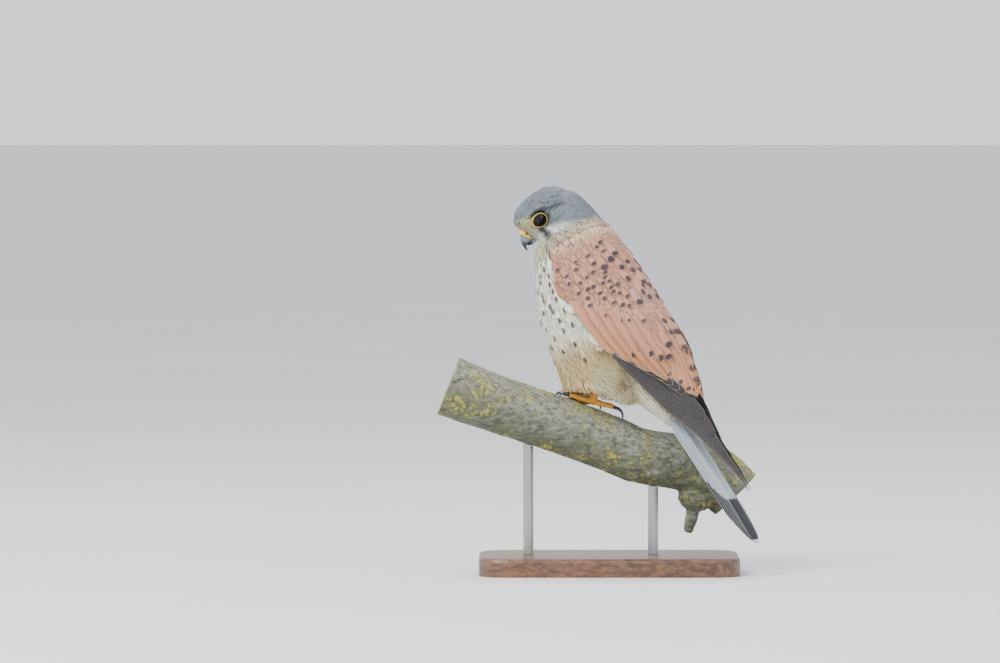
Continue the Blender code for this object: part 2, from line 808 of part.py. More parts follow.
def tube(name, path, radii, sides, material=None):
    rings = []
    last = len(path) - 1
    side_hint = Vector((0.31, 0.17, 0.93))
    for i, (point, radius) in enumerate(zip(path, radii)):
        run = (path[min(i + 1, last)] - path[max(i - 1, 0)]).normalized()
        across = run.cross(side_hint).normalized()
        up = across.cross(run).normalized()
        rings.append(oval(point, up * radius, across * radius, sides))
    return loft(name, rings, material)


def toe_path(station, turn, heading, length, rise, parts=5):
    """Centre line of a toe on the bark; heading 0 runs uphill along the perch."""
    points = []
    radius = perch_axis(station)[1]
    for k in range(parts + 1):
        run = length * k / parts
        along = station - run * math.cos(heading)
        round_turn = turn - math.degrees(run * math.sin(heading) / (radius + TOE_RADIUS))
        t = k / parts
        knuckles = 0.5 * math.sin(3 * math.pi * t) ** 2
        lift = TOE_RADIUS + GAP + (FOOT_LIFT - TOE_RADIUS) * (1 - t) ** 2 + knuckles + rise * t
        points.append(on_perch(along, round_turn, lift))
    return points


def claw_path(path, station_up, length, lean):
    """Arc that leaves the toe's end, rises a little and curls down to the bark."""
    run = (path[-1] - path[-2]).normalized()
    up = (station_up - run * station_up.dot(run)).normalized()
    radius = length / CLAW_SWEEP
    parts = 6
    points = [path[-1] + run * (GAP + 0.05)]
    start = points[0] + run * CLAW_LEAD
    for k in range(parts + 1):
        a = lean - CLAW_SWEEP * k / parts
        offset = (math.sin(lean) - math.sin(a)) * radius
        rise = (math.cos(a) - math.cos(lean)) * radius
        points.append(start + run * offset + up * rise)
    return points


def make_foot(side, station, turn, heel, heading, skin, horn):
    """Tarsus and toes of one foot, and its claws as pieces of their own."""
    root = on_perch(station, turn, FOOT_LIFT)
    up = (root - on_perch(station, turn, 0.0)).normalized()
    top = place_z(*heel)
    bones = [root, root.lerp(top, 0.35), root.lerp(top, 0.7), top]
    pieces = [tube("tarsus", bones, (3.0, TARSUS_RADIUS, TARSUS_RADIUS, 3.2), 10)]
    claws = []
    outward = -1 if side == "left" else 1
    for name, spread, length, claw, lean, rise in TOES:
        angle = math.radians(heading + spread * outward * -1)
        path = toe_path(station, turn, angle, length, rise)
        count = len(path)
        radii = [TOE_RADIUS + 0.3 - 0.7 * k / (count - 1) for k in range(count)]
        pieces.append(tube("toe", path, radii, 7))
        bark_up = (path[-1] - perch_point(station, perch_axis(station)[0])).normalized()
        claw_line = claw_path(path, bark_up, claw, math.radians(lean))
        sizes = [CLAW_RADIUS * (1 - k / (len(claw_line) - 1)) ** 0.7 + 0.15
                 for k in range(len(claw_line))]
        claws.append(tube("claw_%s_%s" % (side, name), claw_line, sizes, 7, horn))
    foot = join_pieces("foot_" + side, pieces, skin)
    return foot, claws


def rounded_plate(name, length, width, low, high, corner, edge, turn, material):
    """Flat plate with round corners and a small bevel on its upper edge."""
    rings = []
    for inset, z in ((0.0, low), (0.0, high - edge), (edge * 0.3, high - edge * 0.3), (edge, high)):
        ring = []
        for cx, cy, start in ((1, 1, 0), (-1, 1, 90), (-1, -1, 180), (1, -1, 270)):
            for k in range(7):
                a = math.radians(start + 15 * k)
                x = cx * (length / 2 - corner) + (corner - inset) * math.cos(a)
                y = cy * (width / 2 - corner) + (corner - inset) * math.sin(a)
                ring.append(Vector((x * math.cos(turn) - y * math.sin(turn),
                                    x * math.sin(turn) + y * math.cos(turn), z)))
        rings.append(ring)
    return loft(name, rings, material)


def make_stand(perch_cutter, wood, steel):
    base = rounded_plate("stand_base", BASE_LENGTH, BASE_WIDTH, 0.0, BASE_THICK,
                         BASE_CORNER, BASE_EDGE, PERCH_TURN, wood)
    for label, station in zip(("front", "rear"), ROD_STATIONS):
        foot = perch_point(station, -PERCH_Z + BASE_THICK + GAP)
        head = perch_point(station, perch_axis(station)[0])
        rod = tube("stand_rod_" + label, [foot, foot.lerp(head, 0.5), head],
                   (ROD_RADIUS,) * 3, 16, steel)
        cut_by(rod, [perch_cutter])


def main():
    clear_scene()
    buff = paint("breast_feathers", (0.72, 0.62, 0.46), 0.85)
    grey = paint("head_feathers", (0.36, 0.38, 0.42), 0.85)
    dark = paint("eye_dark", (0.02, 0.015, 0.012), 0.08)
    yellow = paint("cere_skin", (0.85, 0.62, 0.10), 0.45)
    horn = paint("bill_horn", (0.20, 0.23, 0.28), 0.35)
    bark = paint("bark", (0.34, 0.34, 0.29), 0.9)
    wood = paint("stand_wood", (0.16, 0.10, 0.06), 0.5)
    steel = paint("stand_steel", (0.60, 0.60, 0.60), 0.3, 1.0)
    rufous = paint("wing_feathers", (0.58, 0.30, 0.20), 0.85)
    dusky = paint("primary_feathers", (0.12, 0.10, 0.09), 0.7)
    slate = paint("tail_feathers", (0.45, 0.48, 0.53), 0.75)
    orange = paint("foot_skin", (0.80, 0.45, 0.08), 0.5)
    claw_black = paint("claw_horn", (0.03, 0.03, 0.03), 0.3)

    neck, torso, body_cutter = make_neck_and_torso(buff)
    head = make_head(grey)
    head_cutter = swollen(head)
    cere = bill_loft("cere", CERE_ROWS, 0.40, yellow)
    bill_loft("upper_bill", UPPER_BILL_ROWS, 0.35, horn)
    lower = bill_loft("lower_bill", LOWER_BILL_ROWS, 0.70, horn)
    make_eyes(head, dark, yellow)
    cut_nostrils(cere)
    for made in (cere, lower, neck):
        cut_by(made, [head_cutter])
    cut_by(lower, [body_cutter])
    perch, perch_cutter = make_perch(bark)
    make_stand(perch_cutter, wood, steel)

    tail = make_tail(slate)
    cut_by(tail, [body_cutter])
    spare = [body_cutter, head_cutter, perch_cutter]
    wing, wing_cutter = make_wing(rufous)
    cut_by(wing, [body_cutter])
    primaries, primaries_cutter = make_primaries(dusky)
    cut_by(primaries, [body_cutter, wing_cutter])
    mirrored_copy(wing, "wing_right")
    mirrored_copy(primaries, "primaries_right")
    wing_cutters = {"left": [wing_cutter, primaries_cutter]}
    wing_cutters["right"] = [mirrored_copy(c, c.name) for c in wing_cutters["left"]]
    for side in ("left", "right"):
        thigh = make_thigh(side, buff)
        thigh_cutter = swollen(thigh)
        cut_by(thigh, [body_cutter] + wing_cutters[side])
        spare += [thigh_cutter] + wing_cutters[side]
        station, turn, heel, heading = next(f[1:] for f in FEET if f[0] == side)
        foot, claws = make_foot(side, station, turn, heel, heading, orange, claw_black)
        cut_by(foot, [thigh_cutter, body_cutter, perch_cutter])
        for claw in claws:
            cut_by(claw, [perch_cutter])
    for cutter in spare:
        drop(cutter)


main()
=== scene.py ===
"""Museum model of a common kestrel: skin, feathers, bark, stand, light and camera.

Lengths are millimetres here and become metres where a mesh is made. Side-view
units (p, q) count 1.3 to the millimetre on the bird's left side, as seen by the camera.
"""

import math

import bmesh
import bpy
import numpy as np
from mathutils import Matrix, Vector, noise
from mathutils.bvhtree import BVHTree
from mathutils.kdtree import KDTree


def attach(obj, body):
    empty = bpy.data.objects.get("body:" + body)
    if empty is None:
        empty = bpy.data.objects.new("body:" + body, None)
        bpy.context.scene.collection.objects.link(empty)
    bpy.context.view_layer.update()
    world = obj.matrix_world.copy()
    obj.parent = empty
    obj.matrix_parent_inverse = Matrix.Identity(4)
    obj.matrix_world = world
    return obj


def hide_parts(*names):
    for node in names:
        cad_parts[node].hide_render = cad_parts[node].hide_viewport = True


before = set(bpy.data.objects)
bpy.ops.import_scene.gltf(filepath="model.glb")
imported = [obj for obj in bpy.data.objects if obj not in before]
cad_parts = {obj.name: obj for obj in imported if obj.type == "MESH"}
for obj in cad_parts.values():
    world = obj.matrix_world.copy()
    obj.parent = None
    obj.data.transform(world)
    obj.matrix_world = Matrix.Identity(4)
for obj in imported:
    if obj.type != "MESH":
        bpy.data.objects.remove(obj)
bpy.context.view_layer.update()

MM = 0.001
rng = np.random.default_rng(7)

# The camera's axes, and the scale of the side view
TURN = math.radians(25.0)
TILT = math.radians(2.0)
PERCH_Z = 131.5
UNIT = 1.3
RIGHT = np.array([math.cos(TURN), math.sin(TURN), 0.0])
AWAY = np.array([-math.sin(TURN) * math.cos(TILT), math.cos(TURN) * math.cos(TILT), -math.sin(TILT)])
UPWARD = np.cross(RIGHT, AWAY)
CREST = np.array([0.0, 0.0, PERCH_Z])

# The head's pose, as in the solids
HEAD_TURN = math.radians(45.0)
HEAD_PITCH = math.radians(53.0)
HEAD_ROLL = math.radians(9.0)
EYE_MIDPOINT = np.array([-61.5, -8.0, 142.3 + PERCH_Z])
EYE_SIDE = 10.8
EYE_FORWARD = math.radians(18.0)
EYE_RADIUS = 6.3
LID_RADIUS = 5.35
LID_OUT = 4.5

COAT_DEPTH = 1.3

# Stations of the body's axis (x, height above the crest), from nape to tail
AXIS = np.array([
    (-43.0, 147.5), (-42.0, 143.0), (-40.5, 137.0), (-37.0, 128.0), (-32.0, 118.0),
    (-26.0, 104.5), (-19.5, 87.5), (-12.5, 70.5), (-5.5, 53.5), (0.0, 38.5), (3.8, 26.3),
    (11.5, 20.5), (20.8, 18.5), (29.8, 15.5), (39.5, 4.3), (50.0, -6.8), (57.3, -14.9)])

# Wing stations: lower edge, upper edge, thickness, bow, as in the solids
WING_ROWS = np.array([
    (-37.0, -29.0, 121.0, -4.0, -0.3, 138.0, 2.5, 1.0),
    (-38.5, -33.5, 108.0, 11.5, -0.3, 119.0, 9.0, 1.0),
    (-33.0, -38.0, 96.5, 22.5, -0.3, 103.5, 12.0, 1.0),
    (-25.5, -40.5, 83.0, 33.0, -0.3, 88.5, 13.0, 1.0),
    (-14.5, -41.5, 69.5, 43.0, -0.3, 73.5, 13.0, 1.0),
    (-4.0, -40.5, 58.0, 52.5, -0.3, 60.0, 12.0, 1.0),
    (6.0, -38.5, 48.0, 60.0, -0.3, 47.0, 10.0, 0.95),
    (18.0, -35.5, 39.5, 66.0, -0.3, 34.5, 7.5, 0.85),
    (40.0, -29.0, 27.5, 70.5, -0.6, 23.0, 5.0, 0.7),
    (57.0, -22.0, 17.0, 74.0, -1.8, 13.0, 3.5, 0.6),
    (69.0, -14.0, 7.5, 76.5, -4.0, 5.0, 2.0, 0.5)])
WING_SQUARE = 0.8

# Folded primaries: lower edge, upper edge
PRIMARY_ROWS = np.array([
    (4.0, -36.5, 49.0, 20.0, -33.0, 47.0),
    (17.0, -34.0, 39.0, 38.0, -27.0, 37.0),
    (29.0, -30.5, 26.5, 52.0, -19.5, 29.0),
    (41.5, -26.5, 13.5, 63.0, -12.5, 18.0),
    (56.5, -22.0, -3.0, 75.0, -7.5, 5.0),
    (73.7, -18.0, -19.0, 84.5, -3.0, -9.0),
    (91.4, -14.0, -36.5, 95.0, -1.8, -29.0),
    (106.8, -9.5, -54.0, 108.5, -2.0, -47.5),
    (117.5, -5.0, -65.5, 118.6, -3.0, -65.0)])
PRIMARY_RUN = np.array([0.59, 0.0, -0.8])
PRIMARY_TIPS = (0.93, 1.0, 0.985, 0.90, 0.81, 0.72, 0.63, 0.55, 0.48, 0.42)
PRIMARY_STEP = 0.085

TAIL_ROOT = np.array([28.3, 0.0, 26.0 + PERCH_Z])
TAIL_FALL = math.radians(53.7)
TAIL_LENGTH = 163.0
TAIL_START = 31.0
TAIL_PAIRS = 6
TAIL_HALF_WIDTH = 18.5
TAIL_STEP_BACK = 19.0
TAIL_ARCH = 4.0


# small helpers

def srgb(r, g, b):
    """Screen colour 0 to 255 as a linear colour."""
    c = np.array([r, g, b]) / 255.0
    return np.where(c <= 0.04045, c / 12.92, ((c + 0.055) / 1.055) ** 2.4)


def unit(v):
    return v / np.maximum(np.linalg.norm(v, axis=-1, keepdims=True), 1e-9)


def ease(low, high, x):
    """Smooth step from 0 at low to 1 at high."""
    t = np.clip((x - low) / (high - low), 0.0, 1.0)
    return t * t * (3 - 2 * t)


def blend(a, b, t):
    t = np.asarray(t)[..., None]
    return a * (1 - t) + b * t


def head_axes():
    heading = math.pi + HEAD_TURN
    level = np.array([math.cos(heading), math.sin(heading), 0.0])
    side = np.array([-math.sin(heading), math.cos(heading), 0.0])
    rise = np.array([0.0, 0.0, 1.0])
    forward = level * math.cos(HEAD_PITCH) - rise * math.sin(HEAD_PITCH)
    upright = level * math.sin(HEAD_PITCH) + rise * math.cos(HEAD_PITCH)
    up = upright * math.cos(HEAD_ROLL) + side * math.sin(HEAD_ROLL)
    left = side * math.cos(HEAD_ROLL) - upright * math.sin(HEAD_ROLL)
    return forward, up, left


HF, HU, HL = head_axes()


def eye_place(side):
    centre = EYE_MIDPOINT + HL * side * EYE_SIDE
    pole = HL * side * math.cos(EYE_FORWARD) + HF * math.sin(EYE_FORWARD)
    ahead = np.cross(HU, pole)
    return centre, pole, HU, ahead / np.linalg.norm(ahead)


def side_view(points):
    """Side-view units of points that have been mirrored to the left side."""
    flat = points - CREST
    return 609.0 + UNIT * (flat @ RIGHT), 402.0 - UNIT * (flat @ UPWARD)


def catmull(rows, place):
    """Catmull-Rom values of rows at fractional row numbers."""
    place = np.clip(place, 0, len(rows) - 1)
    i = np.minimum(place.astype(int), len(rows) - 2)
    t = (place - i)[..., None]
    p0 = rows[np.maximum(i - 1, 0)]
    p1 = rows[i]
    p2 = rows[i + 1]
    p3 = rows[np.minimum(i + 2, len(rows) - 1)]
    return 0.5 * (2 * p1 + (p2 - p0) * t + (2 * p0 - 5 * p1 + 4 * p2 - p3) * t ** 2
                  + (3 * p1 - p0 - 3 * p2 + p3) * t ** 3)


def new_object(name, mesh):
    made = bpy.data.objects.new(name, mesh)
    bpy.context.collection.objects.link(made)
    return made


def mesh_arrays(mesh):
    co = np.empty(len(mesh.vertices) * 3, np.float32)
    mesh.vertices.foreach_get("co", co)
    mesh.calc_loop_triangles()
    tris = np.empty(len(mesh.loop_triangles) * 3, np.int32)
    mesh.loop_triangles.foreach_get("vertices", tris)
    return co.reshape(-1, 3) / MM, tris.reshape(-1, 3)


def merged_nodes(names):
    points, faces, labels = [], [], []
    start = 0
    for name in names:
        co, tris = mesh_arrays(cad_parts[name].data)
        points.append(co)
        faces.append(tris + start)
        labels += [name] * len(tris)
        start += len(co)
    return np.concatenate(points), np.concatenate(faces), labels


def remeshed(names, voxel, rounds, keep=0.0):
    """One smooth closed mesh around CAD nodes."""
    points, faces, labels = merged_nodes(names)
    mesh = bpy.data.meshes.new("remesh")
    mesh.from_pydata((points * MM).tolist(), [], faces.tolist())
    result = voxel_mesh(mesh, voxel)
    smooth_mesh(result, rounds)
    return result


def voxel_mesh(mesh, voxel):
    """Closed mesh of even squares round another mesh; only its outer surface is kept."""
    made = new_object("remesh", mesh)
    step = made.modifiers.new("voxels", "REMESH")
    step.mode = "VOXEL"
    step.voxel_size = voxel * MM
    step.use_smooth_shade = True
    graph = bpy.context.evaluated_depsgraph_get()
    result = bpy.data.meshes.new_from_object(made.evaluated_get(graph))
    bpy.data.objects.remove(made, do_unlink=True)
    outer_only(result)
    return result


def outer_only(mesh):
    """Keep the piece of the mesh with the most points."""
    work = bmesh.new()
    work.from_mesh(mesh)
    seen = set()
    best = set()
    for start in work.verts:
        if start in seen:
            continue
        group = {start}
        edge = [start]
        while edge:
            vertex = edge.pop()
            for link in vertex.link_edges:
                other = link.other_vert(vertex)
                if other not in group:
                    group.add(other)
                    edge.append(other)
        seen |= group
        if len(group) > len(best):
            best = group
    spare = [v for v in work.verts if v not in best]
    bmesh.ops.delete(work, geom=spare, context="VERTS")
    work.to_mesh(mesh)
    work.free()


def smooth_mesh(mesh, rounds, pull=0.5):
    """Even out a mesh with equal steps in and out, so that it keeps its size."""
    co = np.empty(len(mesh.vertices) * 3, np.float32)
    mesh.vertices.foreach_get("co", co)
    co = co.reshape(-1, 3).astype(float)
    edges = np.empty(len(mesh.edges) * 2, np.int32)
    mesh.edges.foreach_get("vertices", edges)
    a, b = edges.reshape(-1, 2).T
    count = np.bincount(a, minlength=len(co)) + np.bincount(b, minlength=len(co))
    count = np.maximum(count, 1)[:, None]
    for k in range(rounds):
        for step in (pull, -pull * 1.02):
            total = np.zeros_like(co)
            for axis in range(3):
                total[:, axis] = (np.bincount(a, co[b, axis], len(co))
                                  + np.bincount(b, co[a, axis], len(co)))
            co = co + (total / count - co) * step
    mesh.vertices.foreach_set("co", co.astype(np.float32).ravel())
    mesh.update()


def vertex_arrays(mesh):
    co = np.empty(len(mesh.vertices) * 3, np.float32)
    no = np.empty(len(mesh.vertices) * 3, np.float32)
    mesh.vertices.foreach_get("co", co)
    mesh.vertices.foreach_get("normal", no)
    return co.reshape(-1, 3) / MM, no.reshape(-1, 3).astype(float)


def set_points(mesh, points):
    mesh.vertices.foreach_set("co", (points * MM).astype(np.float32).ravel())
    mesh.update()


def put_colour(mesh, name, colours):
    layer = mesh.attributes.new(name, "FLOAT_COLOR", "POINT")
    full = np.ones((len(colours), 4), np.float32)
    full[:, :colours.shape[1]] = colours
    layer.data.foreach_set("color", full.ravel())


def put_vector(mesh, name, vectors):
    layer = mesh.attributes.new(name, "FLOAT_VECTOR", "POINT")
    layer.data.foreach_set("vector", vectors.astype(np.float32).ravel())


# the body's surface

FLESH = ["head", "neck", "torso", "thigh_left", "thigh_right", "wing_left", "wing_right"]
flesh_points, flesh_faces, flesh_labels = merged_nodes(FLESH)
label_names = np.array(flesh_labels)
label_tree = BVHTree.FromPolygons([Vector(p) for p in flesh_points], flesh_faces.tolist())

CLOSING = 2.0


def closed_over(mesh):
    """Fill the creases between parts by growing the surface, welding it and drawing it in."""
    points, normals = vertex_arrays(mesh)
    set_points(mesh, points + normals * CLOSING)
    grown = voxel_mesh(mesh, 1.0)
    smooth_mesh(grown, 3)
    points, normals = vertex_arrays(grown)
    set_points(grown, points - normals * CLOSING)
    smooth_mesh(grown, 6)
    return grown


surface = closed_over(remeshed(FLESH, 1.0, 4))
surface_points, surface_normals = vertex_arrays(surface)
surface_tris = mesh_arrays(surface)[1]
surface_tree = BVHTree.FromPolygons([Vector(p) for p in surface_points], surface_tris.tolist())
tri_normals = unit(surface_normals[surface_tris].sum(1))


def labels_at(points):
    return np.array([label_names[label_tree.find_nearest(Vector(p))[2]] for p in points])


def to_left(points, labels):
    """Points mirrored to the bird's left side, and the signs that undo it."""
    out = points.copy()
    is_head = labels == "head"
    rel = points - EYE_MIDPOINT
    lateral = rel @ HL
    flip_head = is_head & (lateral < 0)
    out[flip_head] -= 2 * lateral[flip_head, None] * HL
    flip_body = ~is_head & (points[:, 1] > 0)
    out[flip_body, 1] *= -1
    return out, flip_head, flip_body


def flip_back(vectors, flip_head, flip_body):
    out = vectors.copy()
    lateral = out @ HL
    out[flip_head] -= 2 * lateral[flip_head, None] * HL
    out[flip_body, 1] *= -1
    return out


# markings

GREY = srgb(130, 136, 142)
GREY_PALE = srgb(156, 161, 166)
GREY_DARK = srgb(92, 98, 106)
WHITE = srgb(238, 236, 222)
CREAM = srgb(226, 215, 182)
LORES = srgb(196, 190, 150)
BLACK = srgb(26, 27, 31)
RUFOUS = srgb(189, 136, 114)
# Darker rufous, used only for painted shade on the wing
RUFOUS_SHADE = srgb(160, 110, 92)
RUFOUS_WARM = srgb(199, 140, 102)
BREAST = srgb(238, 231, 210)
BREAST_BUFF = srgb(208, 172, 146)
BELLY = srgb(214, 187, 132)
BELLY_DARK = srgb(150, 122, 84)
VENT = srgb(218, 214, 188)
SPOT = srgb(58, 58, 66)
STREAK = srgb(62, 54, 48)
TAIL_GREY = srgb(168, 176, 186)


def near_line(p, q, line):
    """Distance in side-view units from a run of straight lines."""
    best = np.full(p.shape, 1e9)
    for (x0, y0), (x1, y1) in zip(line, line[1:]):
        dx, dy = x1 - x0, y1 - y0
        t = np.clip(((p - x0) * dx + (q - y0) * dy) / (dx * dx + dy * dy), 0, 1)
        best = np.minimum(best, np.hypot(p - x0 - t * dx, q - y0 - t * dy))
    return best


def patch(p, q, x, y, rx, ry, soft=0.35):
    """1 inside an oval, fading out across its edge."""
    r = np.hypot((p - x) / rx, (q - y) / ry)
    return 1 - ease(1 - soft, 1 + soft, r)


CHEEK_TOP = ((540, 229), (548, 227), (556, 223), (566, 222), (578, 221), (590, 219), (604, 216))
CHEEK_LOW = ((540, 241), (548, 241), (556, 240), (566, 236), (578, 231), (590, 227), (604, 222))
BROW = ((531, 217), (535, 211.5), (541, 209), (548, 208), (556, 205.5), (562, 203.5))
BROW_PALE = ((526, 219), (530, 212), (536, 207.5), (543, 205), (549, 205.5))


def head_colour(p, q, f, u, face):
    """Markings of the head; face is 1 where the dark marks may show."""
    colour = np.broadcast_to(GREY, p.shape + (3,)).copy()
    colour = blend(colour, GREY_PALE, ease(200, 186, q) * 0.7 + ease(560, 590, p) * 0.3)
    top = np.interp(p, [c[0] for c in CHEEK_TOP], [c[1] for c in CHEEK_TOP])
    low = np.interp(p, [c[0] for c in CHEEK_LOW], [c[1] for c in CHEEK_LOW])
    white = ease(top - 3, top + 2, q)
    colour = blend(colour, WHITE, white * (0.55 + 0.45 * ease(570, 550, p)))
    below = ease(low - 1.5, low + 2.5, q)
    under = blend(np.broadcast_to(CREAM, colour.shape), RUFOUS, ease(549, 560, p))
    colour = blend(colour, under, below)
    colour = blend(colour, GREY_PALE, patch(p, q, 516, 224, 5, 6) * 0.6)
    colour = blend(colour, LORES, patch(p, q, 527, 225, 9, 7) * 0.95)
    colour = blend(colour, LORES, patch(p, q, 531, 233, 6, 6) * 0.8)
    colour = blend(colour, CREAM, patch(p, q, 532, 244, 10, 8))
    colour = blend(colour, srgb(216, 216, 206), patch(p, q, 536.5, 231, 4.0, 3.6))
    ring = np.hypot(p - 541, q - 219)
    colour = blend(colour, BLACK, (1 - ease(7.6, 10.4, ring)) * 0.8 * ease(228, 222, q) * face)
    colour = blend(colour, BLACK, (1 - ease(0.6, 3.4, near_line(p, q, BROW))) * 0.6 * face)
    colour = blend(colour, LORES, (1 - ease(0.4, 1.8, near_line(p, q, BROW_PALE))) * 0.25)
    colour = blend(colour, GREY_DARK, patch(p, q, 553, 222, 6, 5) * 0.5)
    stripe = near_line(p, q, ((541, 229), (545.5, 232.5), (548, 236.5)))
    colour = blend(colour, BLACK, (1 - ease(1.0, 5.6, stripe)) * 0.93 * face)
    stripe = near_line(p, q, ((548, 233), (554, 238.5)))
    colour = blend(colour, GREY_DARK, (1 - ease(1.0, 4.5, stripe)) * 0.6 * face)
    colour = blend(colour, BLACK, patch(p, q, 518.8, 224.2, 1.6, 1.4) * 0.8)
    return colour


def body_colour(p, q, label, normal):
    """Base colour of the coat at left-side positions."""
    colour = np.broadcast_to(BREAST, p.shape + (3,)).copy()
    left = np.interp(q, [240, 257, 275, 298, 318, 336, 354, 369, 384, 395],
                     [534, 534, 535, 537, 539, 544, 551, 558, 562, 565])
    inward = p - left
    shoulder = ease(9, 16, inward) * ease(292, 262, q)
    colour = blend(colour, BREAST_BUFF, shoulder * 0.9)
    colour = blend(colour, BELLY, ease(335, 372, q + 0.25 * inward))
    is_thigh = (label == "thigh_left") | (label == "thigh_right")
    fluff = ease(352, 395, q)
    thigh = blend(np.broadcast_to(BELLY, colour.shape), srgb(222, 209, 170), fluff)
    colour = np.where(is_thigh[:, None], thigh, colour)
    # The first two patches are painted shade: a darker band just below the wing's lower edge, and shade
    # above the near thigh's pale fluff. The third darkens the belly a little.
    colour = blend(colour, BELLY_DARK, patch(p, q, 603, 350, 16, 7) * 0.55)
    colour = blend(colour, BELLY_DARK, patch(p, q, 620, 387, 6, 8) * 0.7)
    colour = blend(colour, BELLY_DARK, patch(p, q, 572, 358, 10, 9) * 0.35)
    vent = ease(628, 650, p) * ease(360, 385, q)
    colour = blend(colour, VENT, vent)
    rise = normal[:, 0] * math.sin(TAIL_FALL) + normal[:, 2] * math.cos(TAIL_FALL)
    dorsal = ease(0.55, 0.8, rise) * ease(585, 600, p) * ease(672, 662, p)
    back = blend(np.broadcast_to(RUFOUS, colour.shape), TAIL_GREY, ease(668, 682, p))
    colour = blend(colour, back, dorsal * (label == "torso"))
    return colour


RUFOUS_EDGE = ((604, 336), (615, 343), (632, 357), (645, 363), (655, 368), (668, 376),
               (680, 385), (690, 390), (696, 396))
LEADING_EDGE = ((548, 262), (550, 282), (556, 296), (565, 307), (577, 319), (590, 334), (601, 345))
SCAPULAR_EDGE = ((586, 249), (597, 262), (612, 278), (622, 290), (632, 300), (640, 312),
                 (652, 325), (662, 335))
DUSK = srgb(76, 71, 72)
MANTLE_TOP = ((549, 243), (562, 236), (576, 229), (590, 223), (604, 219))
MANTLE_BUFF = srgb(224, 192, 160)


def wing_colour(p, q):
    colour = np.broadcast_to(RUFOUS, p.shape + (3,)).copy()
    colour = blend(colour, RUFOUS_WARM, ease(600, 665, 0.72 * p + 0.72 * (q - 150)))
    # Painted shade: a darker rufous band along the wing's front and lower edge, fading inwards
    edge = near_line(p, q, ((549, 262), (553, 280), (560, 297), (574, 315), (592, 336), (612, 350)))
    colour = blend(colour, RUFOUS_SHADE, (1 - ease(3, 17, edge)) * 0.6)
    colour = blend(colour, srgb(220, 186, 168), patch(p, q, 610, 322, 20, 12, 0.8) * 0.3)
    colour = blend(colour, srgb(220, 186, 166), patch(p, q, 640, 300, 12, 22, 0.8) * 0.2)
    # Painted shade: a thin darker rufous line in the crease along the scapulars' edge
    crease_shade = near_line(p, q, SCAPULAR_EDGE)
    colour = blend(colour, RUFOUS_SHADE, (1 - ease(0.8, 3.0, crease_shade)) * 0.3)
    low = np.interp(p, [c[0] for c in RUFOUS_EDGE], [c[1] for c in RUFOUS_EDGE])
    colour = blend(colour, DUSK, ease(low - 0.5, low + 1.5, q) * ease(603, 612, p))
    colour = blend(colour, WHITE, (1 - ease(1.8, 4.2, near_line(p, q, LEADING_EDGE))) * 0.95)
    top = near_line(p, q, MANTLE_TOP)
    colour = blend(colour, MANTLE_BUFF, (1 - ease(4, 20, top)) * 0.9)
    return colour


def coat_colour(points, labels, normals):
    """Base colour at any point of the coat, alike on both sides."""
    left, flip_head, flip_body = to_left(points, labels)
    normal = flip_back(normals, flip_head, flip_body)
    p, q = side_view(left)
    rel = left - EYE_MIDPOINT
    colour = body_colour(p, q, labels, normal)
    head_like = head_colour(p, q, rel @ HF, rel @ HU, np.where(flip_body, 0.0, 1.0))
    neck_top = ease(258, 238, q + 0.25 * (p - 560))
    mixed = blend(colour, head_like, neck_top)
    is_head = labels == "head"
    is_neck = labels == "neck"
    colour = np.where(is_head[:, None], head_like, colour)
    back_of_neck = blend(mixed, RUFOUS, ease(226, 236, q - 0.0 * p) * ease(566, 580, p))
    colour = np.where(is_neck[:, None], back_of_neck, colour)
    top = near_line(p, q, MANTLE_TOP)
    near_top = (1 - ease(0, 9, top)) * 0.75 * ease(545, 556, p)
    colour = np.where((is_head | is_neck)[:, None], blend(colour, MANTLE_BUFF, near_top), colour)
    is_wing = np.char.startswith(labels.astype(str), "wing")
    colour = np.where(is_wing[:, None], wing_colour(p, q), colour)
    return colour, p, q, rel @ HF, rel @ HU


